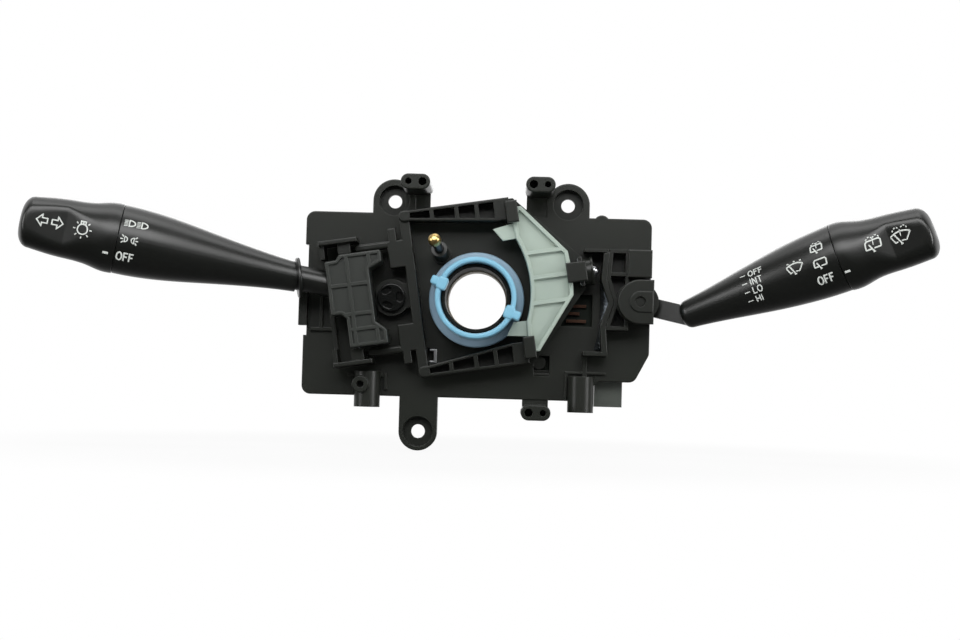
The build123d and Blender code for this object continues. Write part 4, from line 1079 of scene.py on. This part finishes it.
class Glyphs:
    """Stroke letters of height 1 and the standard function marks of the stalks."""

    letters: dict[str, tuple[float, list[Stroke]]] = {
        "O": (0.62, [oval((0.31, 0.5), (0.27, 0.46))]),
        "F": (0.46, [stroke((0.05, 0.0), (0.05, 0.95), (0.46, 0.95)),
                     stroke((0.05, 0.52), (0.4, 0.52))]),
        "I": (0.14, [stroke((0.07, 0.0), (0.07, 1.0))]),
        "N": (0.56, [stroke((0.05, 0.0), (0.05, 0.97), (0.51, 0.03), (0.51, 1.0))]),
        "T": (0.54, [stroke((0.0, 0.95), (0.54, 0.95)), stroke((0.27, 0.95), (0.27, 0.0))]),
        "L": (0.44, [stroke((0.05, 1.0), (0.05, 0.05), (0.44, 0.05))]),
        "H": (0.56, [stroke((0.05, 0.0), (0.05, 1.0)), stroke((0.51, 0.0), (0.51, 1.0)),
                     stroke((0.05, 0.5), (0.51, 0.5))]),
    }

    @classmethod
    def word(cls, text: str, height: float, width: float, wide: float = 1.0,
             gap: float = 0.13) -> list[Stroke]:
        """Strokes of a word whose lower left corner is at the origin.

        Args:
            text: the word, in the letters that the stalks need.
            height: height of the letters.
            width: width of the strokes.
            wide: how much wider than usual the letters are.
            gap: space between letters as a share of their height.

        Returns:
            The word's strokes.
        """
        drawn, right = [], 0.0
        for letter in text:
            advance, strokes = cls.letters[letter]
            drawn += [Stroke(one.path, width, one.closed).moved(right, height, wide)
                      for one in strokes]
            right += (advance + gap) * height * wide
        return drawn

    @staticmethod
    def arrow(way: float) -> list[Stroke]:
        """Outlined turn-signal arrow with its tip at the origin.

        Args:
            way: 1 for an arrow to the reader's right, -1 for one to the left.

        Returns:
            Its strokes.
        """
        points = ((0.0, 0.0), (2.3, 2.5), (2.3, 1.0), (4.6, 1.0), (4.6, -1.0), (2.3, -1.0),
                  (2.3, -2.5))
        return [stroke(*((-way * u, v) for u, v in points), closed=True)]

    @staticmethod
    def lamp(ray_start: float = 3.0, ray_end: float = 4.0) -> list[Stroke]:
        """Lamp bulb with its base and seven rays: the lighting switch.

        Args:
            ray_start: where the rays start from the middle.
            ray_end: where they end.

        Returns:
            Its strokes.
        """
        drawn = [oval((0.0, 0.0), (2.15, 2.15), 0.6),
                 stroke((-1.0, 2.0), (-1.05, 3.35), (1.05, 3.35), (1.0, 2.0)),
                 stroke((-0.4, 2.75), (0.45, 2.75))]
        for angle in np.radians((-135.0, -90.0, -45.0, 0.0, 45.0, 135.0, 180.0)):
            way = np.array((cos(angle), sin(angle)))
            drawn.append(stroke(ray_start * way, ray_end * way))
        return drawn

    @staticmethod
    def half_lens(flat: float, bulge: float, half: float, width: float, count: int = 17) -> Stroke:
        """D-shaped lens: a straight side and half an ellipse.

        Args:
            flat: place of the straight side.
            bulge: reach of the ellipse from there.
            half: half of the lens's height.
            width: width of the line.
            count: number of points on the ellipse.

        Returns:
            The closed stroke.
        """
        angle = np.linspace(-pi / 2, pi / 2, count)
        path = np.stack([flat + bulge * np.cos(angle), half * np.sin(angle)], -1)
        return Stroke(path, width, True)

    @classmethod
    def headlamp(cls, row_step: float = 0.68, droop: float = 0.2) -> list[Stroke]:
        """Headlamp lens with five beam lines at its left.

        Args:
            row_step: distance between two lines.
            droop: how much lower the far end of a line is.

        Returns:
            Its strokes.
        """
        levels = [row_step * row for row in range(-2, 3)]
        return [cls.half_lens(0.35, 2.5, 1.45, 0.6)] + [
            stroke((-1.75, level - droop), (-0.2, level), width=0.36) for level in levels]

    @classmethod
    def sidelight(cls) -> list[Stroke]:
        """Two small lenses with three rays on each side.

        Returns:
            Its strokes.
        """
        rays = (((2.45, 0.95), (3.3, 1.75)), ((2.6, 0.0), (3.75, 0.0)), ((2.45, -0.95), (3.3, -1.7)))
        drawn = []
        for side in (-1.0, 1.0):
            lens = cls.half_lens(-0.65, 1.2, 1.15, 0.45)
            drawn.append(lens.moved(right=side * 1.35, wide=-side))
            drawn += [stroke((side * near[0], near[1]), (side * far[0], far[1]))
                      for near, far in rays]
        return drawn

    @staticmethod
    def wiper_blade(top: Pair, foot: Pair) -> list[Stroke]:
        """Wiper arm with a thick foot."""
        end = (foot[0] + 0.06 * (foot[0] - top[0]), foot[1] + 0.12 * (foot[1] - top[1]))
        return [stroke(top, foot, width=0.62), stroke(foot, end, width=1.05)]

    @classmethod
    def spray(cls, base: float, rise: float, half: float) -> list[Stroke]:
        """Two dashed arches of washer spray and their stem.

        Args:
            base: level of the arches' feet.
            rise: height of the arches.
            half: half of the spray's width.

        Returns:
            Its strokes.
        """
        drawn = []
        for side in (-1.0, 1.0):
            drawn += dashes(curve((side * half, base), (side * 0.52 * half, base + rise),
                                  (0.0, base + 0.25), width=0.5))
        return drawn + [stroke((0.0, base + 0.3), (0.05, base - 2.6), width=0.4)]

    @classmethod
    def windscreen(cls, washer: bool) -> list[Stroke]:
        """Front window with its wiper, under spray or under three interval dashes.

        Args:
            washer: whether there is spray.

        Returns:
            Its strokes.
        """
        drawn = [curve((-4.2, 0.45), (-2.0, 1.35), (0.0, 1.6), (2.0, 1.35), (4.2, 0.45), width=0.62),
                 stroke((-4.2, 0.45), (-2.5, -2.6), (-1.4, -2.35)),
                 stroke((4.2, 0.45), (2.2, -2.7)), curve((2.2, -2.7), (1.2, -2.45), (0.2, -2.4))]
        drawn += cls.wiper_blade((-2.5, 0.9), (0.0, -3.4))
        if washer:
            return drawn + cls.spray(2.2, 1.4, 3.2)
        return drawn + [stroke((u - 0.5, v), (u + 0.5, v + 0.02), width=0.6)
                        for u, v in ((-3.3, 2.15), (0.0, 2.6), (3.2, 2.2))]

    @classmethod
    def rear_window(cls, washer: bool) -> list[Stroke]:
        """Rear window with its wiper, alone or under spray.

        Args:
            washer: whether there is spray.

        Returns:
            Its strokes.
        """
        drawn = [stroke((-0.8, -1.5), (-2.9, -1.5), (-3.2, -1.2), (-3.2, 1.3), (-2.6, 2.0),
                        (2.6, 2.0), (3.2, 1.3), (3.2, -1.2), (2.9, -1.5), (0.3, -1.5), width=0.62)]
        drawn += cls.wiper_blade((-1.8, 0.55), (0.1, -2.7))
        return drawn + cls.spray(2.5, 1.1, 2.8) if washer else drawn


@dataclass(frozen=True)
class Mark:
    """A mark in its place on a stalk: distance along it and level across it."""

    strokes: list[Stroke]
    distance: float
    level: float
    size: float = 1.0
    slant: float = 0.0


@dataclass
class Print:
    """Pad-printed marks of one moulding, as thin closed ribbons that lie on its surface.

    They read along the stalk, or against it where reads is -1.
    """

    name: str
    body: str
    surface: Knob | Handle
    reads: float
    marks: list[Mark]
    raised: float = 0.03
    sunk: float = -0.12

    def build(self, material: bpy.types.Material) -> bpy.types.Object:
        """Builds each stroke as a strip with a top, two sides and an underside below the surface.

        Args:
            material: the print's finish.

        Returns:
            The piece with all marks of the moulding.
        """
        points, faces, start = [], [], 0
        heights = (self.raised, self.raised, self.sunk, self.sunk)
        for mark in self.marks:
            for one in mark.strokes:
                drawn = one.moved(size=mark.size, slant=mark.slant)
                left, right = drawn.edges()
                rails = [self.surface.lift(mark.distance + self.reads * edge[:, 0],
                                           mark.level + edge[:, 1], height)
                         for edge, height in zip((left, right, right, left), heights)]
                strip = np.stack(rails, 1)
                ring = np.vstack([strip, strip[:1]]) if drawn.closed else strip
                points.append(ring.reshape(-1, 3))
                faces += grid_faces(len(ring), 4, start)
                end = start + 4 * len(ring)
                if not drawn.closed:
                    faces += [list(range(start, start + 4)), list(range(end - 1, end - 5, -1))]
                start = end
        piece = make_piece(self.name, np.vstack(points), faces, material)
        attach(piece, self.body)
        LOG.info("printed %s with %d marks", self.name, len(self.marks))
        return piece


class Stalks:
    """Both stalks: their turning knobs and the print on knobs and handles."""

    def __init__(self, frame: dict) -> None:
        """Places the knobs and handles on the stalks' axes.
        """
        left = StalkAxis.of_joint(frame["joints"], "light_turn")
        right = StalkAxis.of_joint(frame["joints"], "rear_turn")
        self.light_knob = Knob("light_knob_grip", "light_knob", "light_switch", left, seam=102.3,
                               tip=146.0, radii=(15.05, 15.2, 13.7, 12.65, 11.2), sag=radians(1.2))
        self.rear_knob = Knob("rear_knob_grip", "rear_knob", "rear_switch", right, seam=73.2,
                              tip=115.5, radii=(14.9, 15.0, 13.3, 12.35, 11.4), sag=radians(4.5))
        self.light_handle = Handle(
            frame["nodes"]["light_handle"], left,
            ((25.6, 6.6), (43.0, 8.4), (65.0, 11.6), (80.0, 13.75), (102.3, 15.05)))
        self.wiper_handle = Handle(
            frame["nodes"]["wiper_handle"], right,
            ((4.5, 6.5), (16.5, 8.1), (38.2, 11.7), (60.8, 14.4), (73.2, 14.9)))

    def prints(self) -> list[Print]:
        """The print of all four mouldings.

        Returns:
            One print for each moulding.
        """
        lean = 0.15
        dash = [stroke((-1.2, 0.0), (1.2, 0.0), width=1.0)]
        tick = [stroke((-1.2, 0.0), (1.2, 0.0), width=0.5)]
        words = []
        for text, level in (("OFF", 7.6), ("INT", 3.6), ("LO", -0.25), ("HI", -4.3)):
            words.append(Mark(tick, 32.4, level - 0.05))
            words.append(Mark(Glyphs.word(text, 2.9, 0.52, 1.25), 35.0, level - 1.45))
        return [
            Print("light_knob_print", "light_switch", self.light_knob, -1.0, [
                Mark(Glyphs.arrow(-1.0), 137.0, 0.6), Mark(Glyphs.arrow(1.0), 125.9, 0.7),
                Mark(Glyphs.lamp(), 117.5, 0.2), Mark(dash, 106.2, -7.45)]),
            Print("light_handle_print", "light_lever", self.light_handle, -1.0, [
                Mark(Glyphs.headlamp(), 99.2, 7.2), Mark(Glyphs.headlamp(), 93.95, 7.35),
                Mark(Glyphs.sidelight(), 97.5, -0.15),
                Mark(Glyphs.word("OFF", 4.0, 0.68), 101.6, -10.0)]),
            Print("wiper_handle_print", "wiper_lever", self.wiper_handle, 1.0, words + [
                Mark(Glyphs.windscreen(False), 55.4, 3.1, 0.87, slant=lean),
                Mark(Glyphs.rear_window(True), 66.4, 7.5, 0.78, slant=lean),
                Mark(Glyphs.rear_window(False), 66.1, 0.75, 0.84, slant=lean),
                Mark(Glyphs.word("OFF", 3.9, 0.68), 62.2, -8.6, slant=0.05)]),
            Print("rear_knob_print", "rear_switch", self.rear_knob, 1.0, [
                Mark(Glyphs.rear_window(True), 88.8, 0.2, slant=lean),
                Mark(Glyphs.windscreen(True), 100.4, 0.0, slant=lean), Mark(dash, 75.3, -6.6)]),
        ]

    def build(self, materials: dict[Look, bpy.types.Material]) -> None:
        """Builds the knobs and the print.

        Args:
            materials: the finishes by look.
        """
        for knob in (self.light_knob, self.rear_knob):
            knob.build(materials[Look.STALK])
        for sheet in self.prints():
            sheet.build(materials[Look.PRINT])


@dataclass(frozen=True)
class Lamp:
    """Soft box that faces the object and isn't seen by the camera."""

    name: str
    place: Triple
    size: Pair
    power: float

    def build(self) -> None:
        """Places the lamp."""
        data = bpy.data.lights.new(self.name, "AREA")
        data.shape = "RECTANGLE"
        data.size, data.size_y = self.size
        data.energy = self.power
        made = put(self.name, data)
        made.location = self.place
        made.visible_camera = False
        made.rotation_mode = "QUATERNION"
        made.rotation_quaternion = (-Vector(self.place)).to_track_quat("-Z", "Y")


@dataclass
class Studio:
    """Camera at the photograph's angle, pale floor, and soft light in a white surrounding."""

    aim: Triple = (1.69 * MM, -7.0 * MM, -8.7 * MM)
    distance: float = 750.0 * MM
    lens: float = 62.5
    sensor: float = 36.0
    clip: Pair = (0.01, 50.0)
    azimuth: float = radians(1.0)
    elevation: float = radians(-2.2)
    roll: float = radians(1.6)
    fill: float = 0.08
    dim: float = 0.03
    room_span: Pair = (-0.1, 0.45)
    floor_half: float = 3.0
    floor_colour: tuple[float, ...] = (0.55, 0.55, 0.55, 1.0)
    floor_roughness: float = 0.9
    floor_glow: float = 0.92
    floor_fade: Pair = (0.16, 0.3)
    floor_span: Pair = (-0.05, 0.25)
    lamps: tuple[Lamp, ...] = (
        Lamp("box_front", (0.0, -1.02, 0.62), (1.4, 0.6), 12.0),
        Lamp("box_above", (0.0, -0.05, 1.2), (1.4, 0.5), 5.0),
        Lamp("box_behind", (0.0, 1.3, 0.5), (1.4, 0.8), 9.0),
        Lamp("strip_left", (-1.1, -0.65, 0.0), (0.4, 0.9), 6.5),
        Lamp("strip_right", (1.1, -0.65, 0.0), (0.4, 0.9), 10.0))

    def camera(self) -> None:
        """Places the camera: its back direction from two angles, then a roll about it."""
        level = cos(self.elevation)
        back = Vector((sin(self.azimuth) * level, -cos(self.azimuth) * level, sin(self.elevation)))
        data = bpy.data.cameras.new("photo_camera")
        data.lens = self.lens
        data.sensor_width = self.sensor
        data.clip_start, data.clip_end = self.clip
        made = put("photo_camera", data)
        turn = (-back).to_track_quat("-Z", "Y").to_matrix() @ Matrix.Rotation(self.roll, 3, "Z")
        place = Vector(self.aim) + back * self.distance
        made.matrix_world = Matrix.Translation(place) @ turn.to_4x4()
        bpy.context.scene.camera = made

    def backdrop(self, tree: Tree, vector: str, span: Pair) -> tuple[Node, Node]:
        """White for the camera and, behind the object, for gloss and glass; dim in front of it.

        What gloss sees rises smoothly over a span of the Y part of a vector.

        Args:
            tree: node tree of the world or of the floor.
            vector: the texture coordinate whose Y part counts.
            span: where the rise starts and ends.

        Returns:
            The node with the strength of the white, and the node with 1 for rays that see it.
        """
        place = add_node(tree, "TexCoord")
        parts = add_node(tree, "SeparateXYZ")
        behind = add_smooth_range(tree, From_Min=span[0], From_Max=span[1], To_Min=self.dim)
        rays = add_node(tree, "LightPath")
        clear, seen, strength = (add_math(tree, "MAXIMUM") for _ in range(3))
        wire(tree, (place, vector, parts, "Vector"), (parts, "Y", behind, "Value"),
             (behind, "Result", strength, 0), (rays, "Is Camera Ray", strength, 1),
             (rays, "Is Glossy Ray", clear, 0), (rays, "Is Transmission Ray", clear, 1),
             (rays, "Is Camera Ray", seen, 0), (clear, "Value", seen, 1))
        return strength, seen

    def world(self) -> None:
        """White backdrop for the rays that see it; all other light is a weak fill."""
        made = bpy.data.worlds.new("studio")
        bpy.context.scene.world = made
        made.use_nodes = True
        tree = made.node_tree
        fill = set_inputs(tree.nodes["Background"], Color=WHITE, Strength=self.fill)
        white = add_node(tree, "Background", Color=WHITE)
        mix = add_node(tree, "MixShader")
        strength, seen = self.backdrop(tree, "Generated", self.room_span)
        wire(tree, (strength, "Value", white, "Strength"), (seen, "Value", mix, "Fac"),
             (fill, "Background", mix, 1), (white, "Background", mix, 2),
             (mix, "Shader", tree.nodes["World Output"], "Surface"))

    def floor(self, level: float) -> None:
        """White floor that glows where it is seen, less near the object, to take its shadow.

        Args:
            level: height of the floor, the object's lowest point.
        """
        half = self.floor_half
        mesh = bpy.data.meshes.new("floor")
        mesh.from_pydata([(-half, -half, level), (half, -half, level), (half, half, level),
                          (-half, half, level)], [], [(0, 1, 2, 3)])
        made = put("floor", mesh)
        paper = bpy.data.materials.new("floor_paper")
        paper.use_nodes = True
        tree = paper.node_tree
        shader = set_inputs(tree.nodes["Principled BSDF"], Base_Color=self.floor_colour,
                            Roughness=self.floor_roughness)
        glow = add_node(tree, "Emission")
        place = add_node(tree, "TexCoord")
        away = add_node(tree, "VectorMath")
        away.operation = "LENGTH"
        fade = add_smooth_range(tree, From_Min=self.floor_fade[0], From_Max=self.floor_fade[1],
                                To_Min=self.floor_glow)
        share = add_math(tree, "MULTIPLY")
        mix = add_node(tree, "MixShader")
        strength, seen = self.backdrop(tree, "Object", self.floor_span)
        wire(tree, (place, "Object", away, 0), (away, "Value", fade, "Value"),
             (strength, "Value", glow, "Strength"), (seen, "Value", share, 0),
             (fade, "Result", share, 1), (share, "Value", mix, "Fac"), (shader, "BSDF", mix, 1),
             (glow, "Emission", mix, 2), (mix, "Shader", tree.nodes["Material Output"], "Surface"))
        mesh.materials.append(paper)
        made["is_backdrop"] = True

    def build(self, floor_level: float) -> None:
        """Sets up the camera, the lamps, the world and the floor.

        Args:
            floor_level: height of the floor.
        """
        self.camera()
        for lamp in self.lamps:
            lamp.build()
        self.world()
        self.floor(floor_level)


def main() -> None:
    """Builds the scene in order and reports each piece."""
    logging.basicConfig(level=logging.INFO)
    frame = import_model()
    cad_low, cad_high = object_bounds()
    bpy.context.scene.view_settings.view_transform = "Standard"
    wardrobe = Wardrobe(Effects())
    wardrobe.dress(frame["nodes"])
    Stalks(frame).build(wardrobe.materials)
    CancelRing().build(wardrobe.materials[Look.RING])
    Sill().build(wardrobe.materials[Look.PLATE])
    Grease().build(wardrobe.materials[Look.GREASE])
    Studio().build(cad_low.z)


if __name__ == "__main__":
    main()
